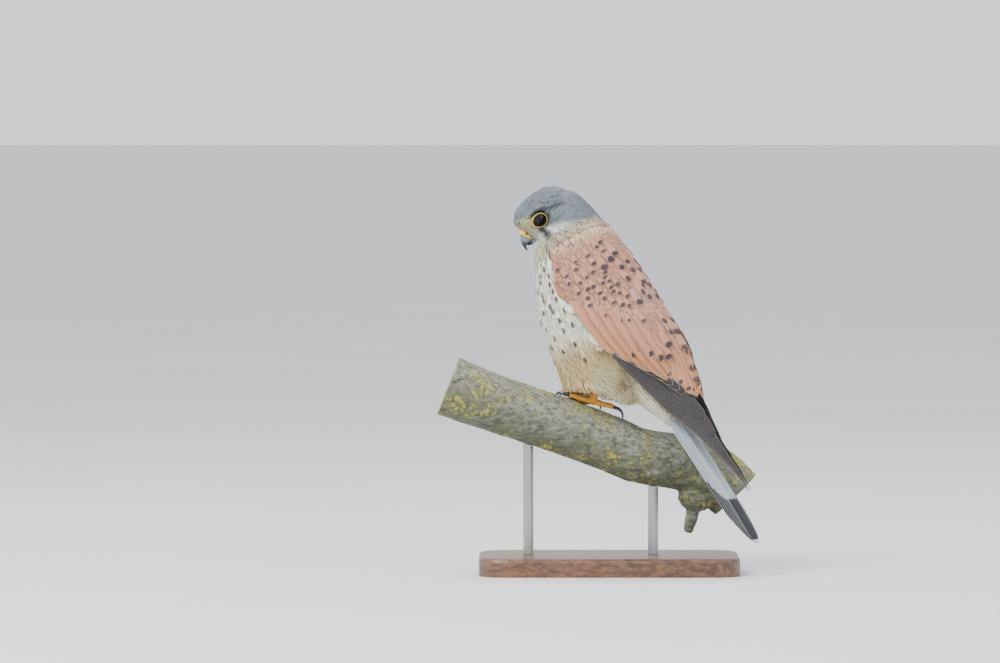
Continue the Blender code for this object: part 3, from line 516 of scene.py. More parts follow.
def lie_of_coat(points, normals, labels):
    """Direction in which feathers lie, along the surface."""
    left, flip_head, flip_body = to_left(points, labels)
    p, q = side_view(left)
    centre = np.stack([AXIS[:, 0], np.zeros(len(AXIS)), AXIS[:, 1] + PERCH_Z], 1)
    seg = unit(centre[1:] - centre[:-1])
    mid = (centre[1:] + centre[:-1]) / 2
    flat = left.copy()
    flat[:, 1] = 0
    gap = np.linalg.norm(flat[:, None, :] - mid[None], axis=2)
    weight = np.exp(-(gap / 14.0) ** 2) + 1e-9
    axis_run = unit((weight[..., None] * seg[None]).sum(1))
    tip = np.array([118.0, -3.0, -65.0 + PERCH_Z])
    wing_run = unit(tip - left)
    # On the head: round the crown, and back across the cheek
    angle_cap = np.arctan2(p - 575, -(q - 242))
    cap = np.stack([np.cos(angle_cap), -np.sin(angle_cap)], 1)
    lean = np.radians(np.interp(p, [520, 545, 575, 605], [-62, -22, -20, -38]))
    cheek = np.stack([np.cos(lean), np.sin(lean)], 1)
    throat = np.stack([np.full(p.shape, 0.25), np.full(p.shape, -0.97)], 1)
    flow = cap * (1 - ease(214, 226, q))[:, None] + cheek * ease(214, 226, q)[:, None]
    under = ease(232, 242, q) * ease(556, 544, p)
    flow = unit(flow * (1 - under)[:, None] + throat * under[:, None])
    head_run = flow[:, :1] * RIGHT + flow[:, 1:] * UPWARD
    is_head = (labels == "head")[:, None]
    is_wing = np.char.startswith(labels.astype(str), "wing")[:, None]
    neck_mix = ((labels == "neck") * ease(252, 226, q))[:, None]
    run = np.where(is_wing, wing_run, axis_run)
    run = np.where(is_head, head_run, run)
    run = run * (1 - neck_mix) + head_run * neck_mix
    run = flip_back(run, flip_head, flip_body)
    run = unit(run - normals * (run * normals).sum(1)[:, None])
    # Feathers part round the eyes instead of crossing them
    for side in (1.0, -1.0):
        centre, pole = eye_place(side)[:2]
        rel = points - centre
        height = rel @ pole
        flat = rel - height[:, None] * pole
        reach = np.linalg.norm(flat, axis=1)
        inward = -flat / np.maximum(reach, 0.1)[:, None]
        towards = np.maximum((run * inward).sum(1), 0.0)
        weight = (1 - ease(7.5, 11.0, reach)) * (height > 0) * 1.15
        run = run - inward * (towards * weight)[:, None]
    return unit(run - normals * (run * normals).sum(1)[:, None])


# Scattering feathers

def scatter(points, faces, spacing_at, tries=5.0):
    """Evenly spread random places on the surface; spacing_at gives their distance."""
    a, b, c = (points[faces[:, k]] for k in range(3))
    area = np.linalg.norm(np.cross(b - a, c - a), axis=1) / 2
    room = spacing_at((a + b + c) / 3, faces)
    chance = np.where(room > 0, area / np.maximum(room, 0.1) ** 2, 0.0)
    count = int(chance.sum() * tries)
    pick = rng.choice(len(faces), count, p=chance / chance.sum())
    r1 = np.sqrt(rng.random(count))[:, None]
    r2 = rng.random(count)[:, None]
    spots = a[pick] * (1 - r1) + b[pick] * r1 * (1 - r2) + c[pick] * r1 * r2
    gaps = room[pick]
    cell = gaps.max()
    grid = {}
    kept = []
    keys = np.floor(spots / cell).astype(int)
    near = [(i, j, k) for i in (-1, 0, 1) for j in (-1, 0, 1) for k in (-1, 0, 1)]
    for n in range(count):
        x, y, z = keys[n].tolist()
        px, py, pz = spots[n].tolist()
        gap = gaps[n] ** 2
        free = True
        for i, j, k in near:
            for qx, qy, qz in grid.get((x + i, y + j, z + k), ()):
                if (px - qx) ** 2 + (py - qy) ** 2 + (pz - qz) ** 2 < gap:
                    free = False
                    break
            if not free:
                break
        if free:
            grid.setdefault((x, y, z), []).append((px, py, pz))
            kept.append(n)
    return spots[kept], pick[kept], gaps[kept]


def surface_walk(roots, run, length, steps):
    """Centre lines that start at the roots and follow the surface, with normals."""
    line = np.empty((len(roots), steps, 3))
    out = np.empty_like(line)
    for n, (root, way) in enumerate(zip(roots, run)):
        here = Vector(root)
        heading = Vector(way)
        spot, normal, index, gap = surface_tree.find_nearest(here)
        normal = Vector(tri_normals[index])
        stride = length[n] / (steps - 1)
        line[n, 0] = here
        out[n, 0] = normal
        for k in range(1, steps):
            ahead = here + heading * stride
            spot, flat, index, gap = surface_tree.find_nearest(ahead)
            if gap < 0.9 * stride + 0.2:
                here = spot
                normal = (normal * 0.6 + Vector(tri_normals[index])).normalized()
                heading = (heading - normal * heading.dot(normal)).normalized()
            else:
                here = ahead
            line[n, k] = here
            out[n, k] = normal
    return line, out


def leaf_profile(v, base=0.55, broad=0.62):
    """Half width of a feather along its length, 1 at its widest."""
    rise = base + (1 - base) * np.sin(np.clip(v / 0.55, 0, 1) * math.pi / 2)
    fall = np.sqrt(np.clip(1 - (np.clip(v - broad, 0, 1) / (1.005 - broad)) ** 2, 0, 1))
    return rise * fall


class Feathers:
    """Collects feathers of one kind and makes one mesh from them."""

    def __init__(self, across, along, ragged=0.06, close=False):
        self.close = close
        self.across = across
        self.along = along
        self.ragged = ragged
        self.parts = []

    def add(self, line, out, width, lift, curl, base_a, base_b, spot, spot_colour, fringe, order):
        """One row per feather; line, out and width (half widths) have an axis for steps."""
        self.parts.append((line, out, width, lift, curl, base_a, base_b, spot,
                           spot_colour, fringe, order))

    def mesh(self, name):
        joined = [np.concatenate([p[k] for p in self.parts]) for k in range(11)]
        line, out, width, lift, curl, base_a, base_b, spot, spot_colour, fringe, order = joined
        rank = np.lexsort((order[:, 1], np.round(order[:, 0], 1)))
        (line, out, width, lift, curl, base_a, base_b, spot, spot_colour, fringe,
         order) = [x[rank] for x in joined]
        count, nv, nu = len(line), self.along, self.across
        v = np.linspace(0, 1, nv)
        u = np.linspace(-1, 1, nu)
        run = np.gradient(line, axis=1)
        run = unit(run)
        side = unit(np.cross(out, run))
        height = lift[:, 0, None] + (lift[:, 1, None] - lift[:, 0, None]) * v[None] ** 0.8
        middle = line + out * height[..., None]
        half = width
        grid = (middle[:, :, None, :]
                + side[:, :, None, :] * (half[:, :, None] * u[None, None, :])[..., None]
                - out[:, :, None, :] * (curl[:, None, None] * half[:, :, None]
                                        * u[None, None, :] ** 2)[..., None])
        if self.close:
            self.lay_close(grid, out, height, curl, half, u)
        rough = rng.normal(0, 1, (count, nv, nu)) * (np.abs(u) > 0.9)[None, None] * self.ragged
        grid += side[:, :, None, :] * (rough * half.max(1)[:, None, None])[..., None]
        co = grid.reshape(-1, 3)
        seed = rng.random(count)
        fuv = np.empty((count, nv, nu, 3))
        fuv[..., 0] = u[None, None, :]
        fuv[..., 1] = v[None, :, None]
        fuv[..., 2] = seed[:, None, None]
        span = np.empty((count, nv, nu, 3))
        span[..., 0] = half[:, :, None]
        length = np.linalg.norm(np.diff(line, axis=1), axis=2).sum(1)
        span[..., 1] = length[:, None, None]
        span[..., 2] = half.max(1)[:, None, None]
        base = (base_a[:, None, None, :] * (1 - v)[None, :, None, None]
                + base_b[:, None, None, :] * v[None, :, None, None])
        base = np.broadcast_to(base, (count, nv, nu, 3))
        quads = []
        for j in range(nv - 1):
            for i in range(nu - 1):
                a = j * nu + i
                quads.append((a, a + 1, a + nu + 1, a + nu))
        under = []
        for j in range(nv - 1):
            a = j * nu
            under.append((a + nu, a + nu + nu - 1, a + nu - 1, a))
        first = tuple(range(nu - 1, -1, -1))
        last = tuple((nv - 1) * nu + k for k in range(nu))
        mesh = bpy.data.meshes.new(name)
        loops = quads + under
        per = np.array(loops)
        start = (np.arange(count) * nv * nu)[:, None, None]
        body = (per[None] + start).reshape(-1, 4)
        ends = np.array([first, last])
        caps = (ends[None] + start).reshape(-1, nu)
        total = len(body) * 4 + len(caps) * nu
        mesh.vertices.add(len(co))
        mesh.vertices.foreach_set("co", (co * MM).astype(np.float32).ravel())
        mesh.loops.add(total)
        mesh.loops.foreach_set("vertex_index",
                               np.concatenate([body.ravel(), caps.ravel()]).astype(np.int32))
        mesh.polygons.add(len(body) + len(caps))
        starts = np.concatenate([np.arange(len(body)) * 4,
                                 len(body) * 4 + np.arange(len(caps)) * nu]).astype(np.int32)
        mesh.polygons.foreach_set("loop_start", starts)
        smooth = np.zeros((count, len(loops)), bool)
        smooth[:, :len(quads)] = True
        smooth = np.concatenate([smooth.ravel(), np.zeros(len(caps), bool)])
        mesh.update(calc_edges=True)
        mesh.polygons.foreach_set("use_smooth", smooth)
        put_vector(mesh, "fuv", fuv.reshape(-1, 3))
        put_vector(mesh, "span", span.reshape(-1, 3))
        put_colour(mesh, "base", base.reshape(-1, 3))
        each = nv * nu
        put_vector(mesh, "spot", np.repeat(spot, each, 0))
        put_colour(mesh, "mark", np.repeat(spot_colour, each, 0))
        put_vector(mesh, "trim", np.repeat(fringe, each, 0))
        self.bake_map(mesh, order, count, nv, nu, len(quads), len(under))
        mesh.validate()
        return mesh

    def lay_close(self, grid, out, height, curl, half, u):
        """Bends each vane to the rounded surface below it, so that its sides lie down."""
        count, nv, nu = grid.shape[:3]
        for n in range(count):
            for j in range(nv):
                rise = out[n, j] * height[n, j]
                for i in range(nu):
                    spot, normal, index, gap = surface_tree.find_nearest(Vector(grid[n, j, i] - rise))
                    if gap > 1.6:
                        continue
                    above = height[n, j] - 0.04 * half[n, j] * u[i] ** 2
                    spot = np.array(spot) + tri_normals[index] * above
                    grid[n, j, i] = spot

    def bake_map(self, mesh, order, count, nv, nu, tops, unders):
        """One small patch per feather, in rows by station and columns by angle."""
        columns = int(math.ceil(math.sqrt(count)))
        rows = int(math.ceil(count / columns))
        cell = 1.0 / max(columns, rows)
        size = cell * 0.8
        index = np.arange(count)
        corner = np.stack([(index % columns) * cell, (index // columns) * cell], 1) + cell * 0.1
        grid = np.empty((nv, nu, 2))
        grid[..., 0] = np.linspace(0, 1, nu)[None]
        grid[..., 1] = np.linspace(0, 1, nv)[:, None]
        flat = grid.reshape(-1, 2)
        place = corner[:, None, :] + flat[None] * size
        place = place.reshape(-1, 2)
        index = np.empty(len(mesh.loops), np.int32)
        mesh.loops.foreach_get("vertex_index", index)
        layer = mesh.uv_layers.new(name="OFBake")
        layer.data.foreach_set("uv", place[index].astype(np.float32).ravel())


# Materials

class Nodes:
    """Short way of wiring a material's nodes."""

    def __init__(self, name):
        self.material = bpy.data.materials.new(name)
        self.material.use_nodes = True
        self.tree = self.material.node_tree
        self.shader = self.tree.nodes["Principled BSDF"]

    def node(self, kind, **settings):
        made = self.tree.nodes.new(kind)
        for key, value in settings.items():
            setattr(made, key, value)
        return made

    def link(self, a, b):
        self.tree.links.new(a, b)

    def attribute(self, name):
        return self.node("ShaderNodeAttribute", attribute_name=name)

    def feed(self, socket, value):
        if isinstance(value, bpy.types.NodeSocket):
            self.link(value, socket)
        else:
            socket.default_value = value

    def math(self, operation, a, b=None, c=None, clamp=False):
        made = self.node("ShaderNodeMath", operation=operation, use_clamp=clamp)
        for socket, value in zip(made.inputs, (a, b, c)):
            if value is not None:
                self.feed(socket, value)
        return made.outputs[0]

    def mix(self, share, a, b, blend_type="MIX"):
        made = self.node("ShaderNodeMix", data_type="RGBA", blend_type=blend_type)
        self.feed(made.inputs[0], share)
        for socket, value in ((made.inputs[6], a), (made.inputs[7], b)):
            if isinstance(value, bpy.types.NodeSocket):
                self.link(value, socket)
            else:
                socket.default_value = (*[float(x) for x in value[:3]], 1.0)
        return made.outputs[2]

    def ramp(self, value, low, high):
        made = self.node("ShaderNodeMapRange", interpolation_type="SMOOTHSTEP")
        self.feed(made.inputs[0], value)
        made.inputs[1].default_value = low
        made.inputs[2].default_value = high
        return made.outputs[0]

    def split(self, vector):
        made = self.node("ShaderNodeSeparateXYZ")
        self.link(vector, made.inputs[0])
        return made.outputs

    def join(self, x, y, z):
        made = self.node("ShaderNodeCombineXYZ")
        for socket, value in zip(made.inputs, (x, y, z)):
            self.feed(socket, value)
        return made.outputs[0]

    def noise(self, vector, scale, detail=3.0, rough=0.5, output=0):
        made = self.node("ShaderNodeTexNoise")
        if vector is not None:
            self.link(vector, made.inputs["Vector"])
        made.inputs["Scale"].default_value = scale
        made.inputs["Detail"].default_value = detail
        made.inputs["Roughness"].default_value = rough
        return made.outputs[output]

    def place(self):
        return self.node("ShaderNodeTexCoord").outputs["Object"]

    def normal(self):
        return self.node("ShaderNodeNewGeometry").outputs["Normal"]

    def bump(self, height, strength, distance=0.0004):
        made = self.node("ShaderNodeBump")
        self.link(height, made.inputs["Height"])
        made.inputs["Strength"].default_value = strength
        made.inputs["Distance"].default_value = distance
        self.link(made.outputs[0], self.shader.inputs["Normal"])

    def colour(self, socket):
        self.feed(self.shader.inputs["Base Color"], socket)

    def rough(self, value):
        self.feed(self.shader.inputs["Roughness"], value)


def feather_paint(name, contrast=0.16, shaft=0.25, grain=1.6):
    """Barbs, shaft, spot and pale edge, laid out in each feather's own millimetres."""
    m = Nodes(name)
    u, v, seed = m.split(m.attribute("fuv").outputs["Vector"])[:3]
    half, length, widest = m.split(m.attribute("span").outputs["Vector"])[:3]
    centre, wide, tall = m.split(m.attribute("spot").outputs["Vector"])[:3]
    edge_share, edge_width, tip_share = m.split(m.attribute("trim").outputs["Vector"])[:3]
    side = m.math("ABSOLUTE", u)
    across = m.math("MULTIPLY", u, half)
    back = m.math("MULTIPLY", m.math("SUBTRACT", 1.0, v), length)
    # Barbs run outwards and towards the tip
    slant = m.math("ADD", back, m.math("MULTIPLY", m.math("ABSOLUTE", across), 0.9))
    apart = m.math("ADD", m.math("MULTIPLY", seed, 91.0), m.math("SIGN", u))
    thin = m.math("MULTIPLY", across, 0.12)
    barbs = m.noise(m.join(slant, apart, thin), grain, 4.0, 0.65)
    soft = m.noise(m.join(m.math("MULTIPLY", across, 0.5), m.math("MULTIPLY", back, 0.16),
                          m.math("MULTIPLY", seed, 57.0)), 1.0, 2.0)
    base = m.attribute("base").outputs["Color"]
    tone = m.math("ADD", m.math("MULTIPLY", m.math("SUBTRACT", barbs, 0.5), contrast * 3.0),
                  m.math("MULTIPLY", m.math("SUBTRACT", soft, 0.5), contrast * 1.6))
    value = m.math("ADD", 1.0, tone)
    colour = m.mix(1.0, base, m.join(value, value, value), "MULTIPLY")
    # Spot: an oval, ragged where the barbs end
    du = m.math("DIVIDE", across, m.math("MAXIMUM", wide, 0.01))
    dv = m.math("DIVIDE", m.math("SUBTRACT", back, centre), m.math("MAXIMUM", tall, 0.01))
    ragged = m.math("MULTIPLY", m.math("SUBTRACT", barbs, 0.5), 0.7)
    reach = m.math("ADD", m.math("SQRT", m.math("ADD", m.math("MULTIPLY", du, du),
                                                m.math("MULTIPLY", dv, dv))), ragged)
    mark = m.attribute("mark")
    inside = m.math("MULTIPLY", m.math("SUBTRACT", 1.0, m.ramp(reach, 0.8, 1.15)),
                    mark.outputs["Alpha"])
    colour = m.mix(inside, colour, mark.outputs["Color"])
    # Pale edge, measured in from the nearest rim
    rim = m.math("MINIMUM", m.math("MULTIPLY", m.math("SUBTRACT", 1.0, side), half), back)
    near = m.math("DIVIDE", rim, m.math("MAXIMUM", edge_width, 0.01))
    at_tip = m.math("MULTIPLY", m.math("SUBTRACT", 1.0, m.ramp(back, 8.0, 24.0)), tip_share)
    fringe = m.math("MULTIPLY", m.math("SUBTRACT", 1.0, m.ramp(near, 0.6, 1.3)),
                    m.math("MAXIMUM", edge_share, at_tip))
    colour = m.mix(fringe, colour, srgb(228, 214, 192))
    line = m.math("MULTIPLY", m.math("SUBTRACT", 1.0, m.ramp(side, 0.02, 0.08)), shaft)
    colour = m.mix(line, colour, srgb(96, 78, 68))
    m.colour(colour)
    m.rough(m.math("ADD", 0.74, m.math("MULTIPLY", barbs, 0.2)))
    m.shader.inputs["Subsurface Weight"].default_value = 0.35
    m.shader.inputs["Subsurface Radius"].default_value = (1.0, 0.75, 0.6)
    m.shader.inputs["Subsurface Scale"].default_value = 0.0012
    m.shader.inputs["Specular IOR Level"].default_value = 0.12
    m.bump(barbs, 0.4, 0.0002)
    return m.material


def skin_paint():
    m = Nodes("coat_skin")
    place = m.place()
    base = m.attribute("base").outputs["Color"]
    fluff = m.noise(place, 1800.0, 4.0, 0.7)
    value = m.math("ADD", 0.72, m.math("MULTIPLY", fluff, 0.45))
    m.colour(m.mix(1.0, base, m.join(value, value, value), "MULTIPLY"))
    m.rough(m.math("ADD", 0.8, m.math("MULTIPLY", fluff, 0.15)))
    m.bump(fluff, 0.8, 0.0005)
    return m.material


def plain_paint(name, base, dark, scale, rough, vary=0.5, bump=0.4, coat=0.0, depth=0.0003,
                second=None):
    """Two tones mixed by noise, with bump and uneven roughness."""
    m = Nodes(name)
    place = m.place()
    broad = m.noise(place, scale, 4.0, 0.6)
    fine = m.noise(place, scale * 6.0, 3.0, 0.6)
    both = m.math("ADD", m.math("MULTIPLY", broad, 0.65), m.math("MULTIPLY", fine, 0.35))
    share = m.math("MULTIPLY", m.ramp(both, 0.35, 0.65), vary)
    colour = m.mix(share, base, dark)
    if second is not None:
        colour = second(m, place, colour)
    m.colour(colour)
    m.rough(m.math("ADD", rough - 0.08, m.math("MULTIPLY", fine, 0.2)))
    m.shader.inputs["Coat Weight"].default_value = coat
    m.shader.inputs["Coat Roughness"].default_value = 0.15
    m.bump(both, bump, depth)
    return m.material


def bark_paint():
    m = Nodes("bark_detail")
    place = m.place()
    along = m.node("ShaderNodeMapping", vector_type="POINT")
    m.link(place, along.inputs[0])
    along.inputs["Rotation"].default_value = (0.0, math.radians(-14.0), -TURN)
    along.inputs["Scale"].default_value = (1.0, 3.2, 3.2)
    run = along.outputs[0]
    broad = m.noise(place, 38.0, 5.0, 0.6)
    streak = m.noise(run, 110.0, 6.0, 0.72)
    fine = m.noise(run, 520.0, 5.0, 0.75)
    upward = m.split(m.normal())[2]
    top = m.ramp(upward, -0.35, 0.6)
    colour = m.mix(m.ramp(streak, 0.36, 0.62), srgb(70, 72, 60), srgb(150, 152, 138))
    colour = m.mix(m.math("MULTIPLY", m.ramp(broad, 0.42, 0.62), 0.55), colour, srgb(106, 110, 76))
    # Painted shade: the underside of the branch, found by its normal, turns dark green
    under = m.math("MULTIPLY", m.math("SUBTRACT", 1.0, top), 0.55)
    colour = m.mix(under, colour, srgb(72, 78, 54))
    # The pale streaks are the bark's own; drawing them stronger on the upper side is painted light from
    # above
    light = m.math("MULTIPLY", m.ramp(fine, 0.52, 0.7), m.math("ADD", 0.25, m.math("MULTIPLY", top, 0.6)))
    colour = m.mix(light, colour, srgb(204, 204, 190))
    colour = m.mix(m.math("MULTIPLY", m.ramp(fine, 0.46, 0.3), 0.85), colour, srgb(46, 42, 34))
    # Lichen in patches with fine grains
    cells = m.node("ShaderNodeTexVoronoi", feature="F1")
    m.link(place, cells.inputs["Vector"])
    cells.inputs["Scale"].default_value = 300.0
    grain = m.noise(place, 1400.0, 4.0, 0.7)
    region = m.noise(place, 40.0, 4.0, 0.7)
    lichen = m.math("MULTIPLY", m.ramp(region, 0.5, 0.6),
                    m.ramp(m.math("ADD", cells.outputs["Distance"],
                                  m.math("MULTIPLY", grain, -0.6)), 0.32, 0.1))
    colour = m.mix(m.math("MULTIPLY", lichen, 0.75), colour, srgb(178, 172, 74))
    pale = m.math("MULTIPLY", m.ramp(m.noise(place, 33.0, 3.0, 0.6), 0.6, 0.72),
                  m.ramp(grain, 0.42, 0.55))
    colour = m.mix(m.math("MULTIPLY", pale, 0.75), colour, srgb(202, 206, 190))
    cut = m.attribute("cut")
    rings = m.node("ShaderNodeTexWave", wave_type="RINGS", rings_direction="SPHERICAL")
    m.link(m.attribute("cutplace").outputs["Vector"], rings.inputs["Vector"])
    rings.inputs["Scale"].default_value = 150.0
    rings.inputs["Distortion"].default_value = 1.2
    rings.inputs["Detail"].default_value = 3.0
    wood = m.mix(rings.outputs["Fac"], srgb(208, 188, 150), srgb(146, 120, 86))
    colour = m.mix(cut.outputs["Fac"], colour, wood)
    m.colour(colour)
    m.rough(m.math("ADD", 0.78, m.math("MULTIPLY", fine, 0.2)))
    height = m.math("ADD", m.math("MULTIPLY", streak, 0.6),
                    m.math("ADD", m.math("MULTIPLY", fine, 0.3), m.math("MULTIPLY", lichen, 0.25)))
    m.bump(height, 1.0, 0.0024)
    return m.material


def wood_paint():
    m = Nodes("stand_wood_detail")
    place = m.place()
    turn = m.node("ShaderNodeMapping", vector_type="POINT")
    m.link(place, turn.inputs[0])
    turn.inputs["Rotation"].default_value = (0.0, 0.0, -TURN)
    turn.inputs["Scale"].default_value = (0.09, 1.0, 1.0)
    grain = m.noise(turn.outputs[0], 240.0, 6.0, 0.65)
    pores = m.noise(turn.outputs[0], 1300.0, 3.0, 0.6)
    colour = m.mix(m.ramp(grain, 0.36, 0.64), srgb(74, 48, 32), srgb(122, 84, 56))
    colour = m.mix(m.math("MULTIPLY", m.ramp(pores, 0.56, 0.7), 0.6), colour, srgb(40, 26, 18))
    m.colour(colour)
    m.rough(m.math("ADD", 0.34, m.math("MULTIPLY", grain, 0.2)))
    m.shader.inputs["Coat Weight"].default_value = 0.3
    m.shader.inputs["Coat Roughness"].default_value = 0.25
    m.bump(m.math("ADD", grain, pores), 0.25, 0.0003)
    return m.material


def steel_paint():
    m = Nodes("stand_steel_detail")
    place = m.place()
    lines = m.node("ShaderNodeMapping", vector_type="POINT")
    m.link(place, lines.inputs[0])
    lines.inputs["Scale"].default_value = (1.0, 1.0, 30.0)
    brushed = m.noise(lines.outputs[0], 260.0, 5.0, 0.6)
    m.colour(m.mix(brushed, srgb(150, 150, 150), srgb(190, 190, 188)))
    m.rough(m.math("ADD", 0.24, m.math("MULTIPLY", brushed, 0.2)))
    m.shader.inputs["Metallic"].default_value = 1.0
    m.bump(brushed, 0.15, 0.0001)
    return m.material


def eye_paint():
    m = Nodes("eye_detail")
    turned = m.attribute("eyeplace").outputs["Vector"]
    across, up, front = m.split(turned)[:3]
    ring = m.math("SQRT", m.math("ADD", m.math("MULTIPLY", across, across),
                                 m.math("MULTIPLY", up, up)))
    rays = m.noise(turned, 9.0, 3.0, 0.6)
    iris = m.mix(rays, srgb(24, 15, 10), srgb(44, 27, 16))
    pupil = m.ramp(m.math("ADD", ring, m.math("MULTIPLY", rays, 0.02)), 0.62, 0.54)
    colour = m.mix(pupil, iris, srgb(7, 6, 7))
    m.colour(m.mix(m.ramp(ring, 0.86, 0.94), colour, srgb(20, 14, 12)))
    m.rough(m.math("ADD", 0.05, m.math("MULTIPLY", rays, 0.05)))
    m.shader.inputs["Coat Weight"].default_value = 0.4
    m.shader.inputs["Coat Roughness"].default_value = 0.02
    m.shader.inputs["Specular IOR Level"].default_value = 0.1
    m.bump(rays, 0.03, 0.00005)
    return m.material


def scale_paint(name, base, dark, scale, rough, groove):
    """Skin of small plates with darker joints between them."""
    m = Nodes(name)
    place = m.place()
    cells = m.node("ShaderNodeTexVoronoi", feature="DISTANCE_TO_EDGE")
    m.link(place, cells.inputs["Vector"])
    cells.inputs["Scale"].default_value = scale
    fine = m.noise(place, scale * 2.5, 4.0, 0.6)
    plate = m.ramp(cells.outputs["Distance"], 0.0, 0.16)
    colour = m.mix(m.math("MULTIPLY", fine, 0.5), base, dark)
    colour = m.mix(m.math("MULTIPLY", m.math("SUBTRACT", 1.0, plate), groove), colour,
                   dark * 0.45)
    m.colour(colour)
    m.rough(m.math("ADD", rough, m.math("MULTIPLY", fine, 0.18)))
    m.bump(m.math("ADD", plate, m.math("MULTIPLY", fine, 0.3)), 0.5, 0.0003)
    return m.material


# Building

pieces = []


def finish_piece(made, nodes=(), material=None):
    if material is not None:
        made.data.materials.clear()
        made.data.materials.append(material)
    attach(made, "root")
    if nodes:
        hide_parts(*nodes)
    pieces.append(made)
    return made


SIDES = (("left", 1.0), ("right", -1.0))


def make_skin():
    """One closed skin under the whole coat, drawn in by the coat's depth."""
    mesh = surface.copy()
    inward = []
    for p, n in zip(surface_points, surface_normals):
        hit = surface_tree.ray_cast(Vector(p - n * 0.3), Vector(-n))
        inward.append(hit[3] if hit[3] is not None else 20.0)
    depth = np.minimum(COAT_DEPTH, 0.3 * np.array(inward))
    set_points(mesh, surface_points - surface_normals * depth[:, None])
    smooth_mesh(mesh, 2)
    labels = labels_at(surface_points)
    colour = coat_colour(surface_points, labels, surface_normals)[0]
    put_colour(mesh, "base", colour)
    mesh.shade_smooth()
    grid_map(mesh)
    made = new_object("skin", mesh)
    nodes = ["head", "neck", "torso", "thigh_left", "thigh_right", "wing_left", "wing_right"]
    return finish_piece(made, nodes, skin_paint())


def grid_map(mesh):
    """Each face gets its own small patch, in order of station and angle."""
    count = len(mesh.polygons)
    centre = np.empty(count * 3, np.float32)
    mesh.polygons.foreach_get("center", centre)
    centre = centre.reshape(-1, 3) / MM
    station = np.round(centre[:, 2], 0)
    angle = np.arctan2(centre[:, 1], centre[:, 0])
    rank = np.empty(count, int)
    rank[np.lexsort((angle, station))] = np.arange(count)
    columns = int(math.ceil(math.sqrt(count)))
    cell = 1.0 / columns
    corner = np.stack([(rank % columns) * cell, (rank // columns) * cell], 1) + cell * 0.1
    totals = np.empty(count, np.int32)
    mesh.polygons.foreach_get("loop_total", totals)
    offsets = np.array([(0, 0), (1, 0), (1, 1), (0, 1)]) * cell * 0.8
    step = np.concatenate([np.arange(t) for t in totals]) % 4
    place = np.repeat(corner, totals, 0) + offsets[step]
    layer = mesh.uv_layers.new(name="OFBake")
    layer.data.foreach_set("uv", place.astype(np.float32).ravel())


# Wing places, read from the same stations as the solids

def wing_points(place, share):
    row = catmull(WING_ROWS, place)
    low = row[..., 0:3] + CREST
    top = row[..., 3:6] + CREST
    corner = np.stack([low[..., 0], top[..., 1], low[..., 2]], -1)
    turn = np.clip(share, 0, 1) * math.pi / 2
    side_part = (low - corner) * (np.maximum(np.cos(turn), 0) ** WING_SQUARE)[..., None]
    back_part = (top - corner) * (np.maximum(np.sin(turn), 0) ** WING_SQUARE)[..., None]
    share = share[..., None]
    bow = row[..., 7:8]
    return (low * (1 - share) + top * share) * (1 - bow) + (corner + side_part + back_part) * bow


wing_places, wing_shares = np.meshgrid(np.linspace(0, 10, 161), np.linspace(0, 1, 33), indexing="ij")
wing_table = wing_points(wing_places, wing_shares).reshape(-1, 3)
wing_flat = np.stack([wing_places.ravel(), wing_shares.ravel()], 1)
wing_finder = KDTree(len(wing_table))
for number, spot in enumerate(wing_table):
    wing_finder.insert(Vector(spot), number)
wing_finder.balance()


def wing_station(points):
    """Row place and share of the nearest point on the left wing, and its distance."""
    out = np.empty((len(points), 3))
    for n, p in enumerate(points):
        spot, index, gap = wing_finder.find(Vector((p[0], -abs(p[1]), p[2])))
        out[n, :2] = wing_flat[index]
        out[n, 2] = gap
    return out


eyes = [eye_place(side)[0] for label, side in SIDES]


def head_room(points):
    """Spacing on the head: finest on the face and round the eyes."""
    rel = points - EYE_MIDPOINT
    f = rel @ HF
    u = rel @ HU
    room = 0.86 - 0.32 * ease(-8, 6, f) * ease(12, 2, u)
    return room


EYE_CLEAR = 6.15
EYE_POLES = [eye_place(side)[:2] for label, side in SIDES]


def clear_of_eyes(points):
    keep = np.ones(len(points), bool)
    for centre, pole in EYE_POLES:
        rel = points - centre
        height = rel @ pole
        across = np.linalg.norm(rel - height[:, None] * pole, axis=1)
        keep &= ~((height > 0) & (across < EYE_CLEAR))
    return keep


bill_points, bill_faces, bill_labels = merged_nodes(["cere", "upper_bill", "lower_bill"])
bill_tree = BVHTree.FromPolygons([Vector(p) for p in bill_points], bill_faces.tolist())


def clear_of_bill(points, gap):
    return np.array([bill_tree.find_nearest(Vector(p), gap)[0] is None for p in points])


# Spots of the wing: side-view place, size

COVERT_SPOTS = (
    (566, 277), (569, 284), (576, 270), (586, 278), (580, 283), (588, 289), (588, 298),
    (589, 306), (576, 262), (558, 270), (588, 256), (593, 264), (579, 293), (593, 272.4),
    (604, 273), (604.6, 277.4), (608.4, 281.4), (602, 283.6), (617, 284.4), (609.4, 288.4),
    (617.4, 294), (626.4, 296.4), (612, 292.4), (600.4, 293), (604, 298.4), (613, 303),
    (621.4, 305.4), (628.4, 306), (599, 312.6), (604, 316.4), (622, 319.4), (628, 320.4),
    (643, 320.6), (594, 322.6), (593, 287), (599, 243), (597, 247), (602, 252))
LARGE_SPOTS = (
    (604, 267.5), (611, 259), (614, 254), (620, 268), (626, 262), (632, 270), (627, 279),
    (643, 282), (649, 285), (642, 292), (648, 297), (639, 302), (663, 321), (669.6, 332),
    (675, 332), (665.6, 345.4), (683.6, 348), (667, 356.4), (659.4, 357.4), (648.4, 354.4),
    (635, 352.4), (691, 368), (691.6, 380))
BREAST_SPOTS = (
    (545, 270), (541, 277), (549, 277), (551, 285), (541, 283), (553, 292), (538, 293),
    (543, 296), (545, 301), (556, 300), (551, 307), (553, 312), (565, 311), (544, 314),
    (560, 321), (573, 325), (542, 323), (547, 330), (564, 331), (555, 339), (575, 345),
    (552, 348), (563, 352), (586, 360))


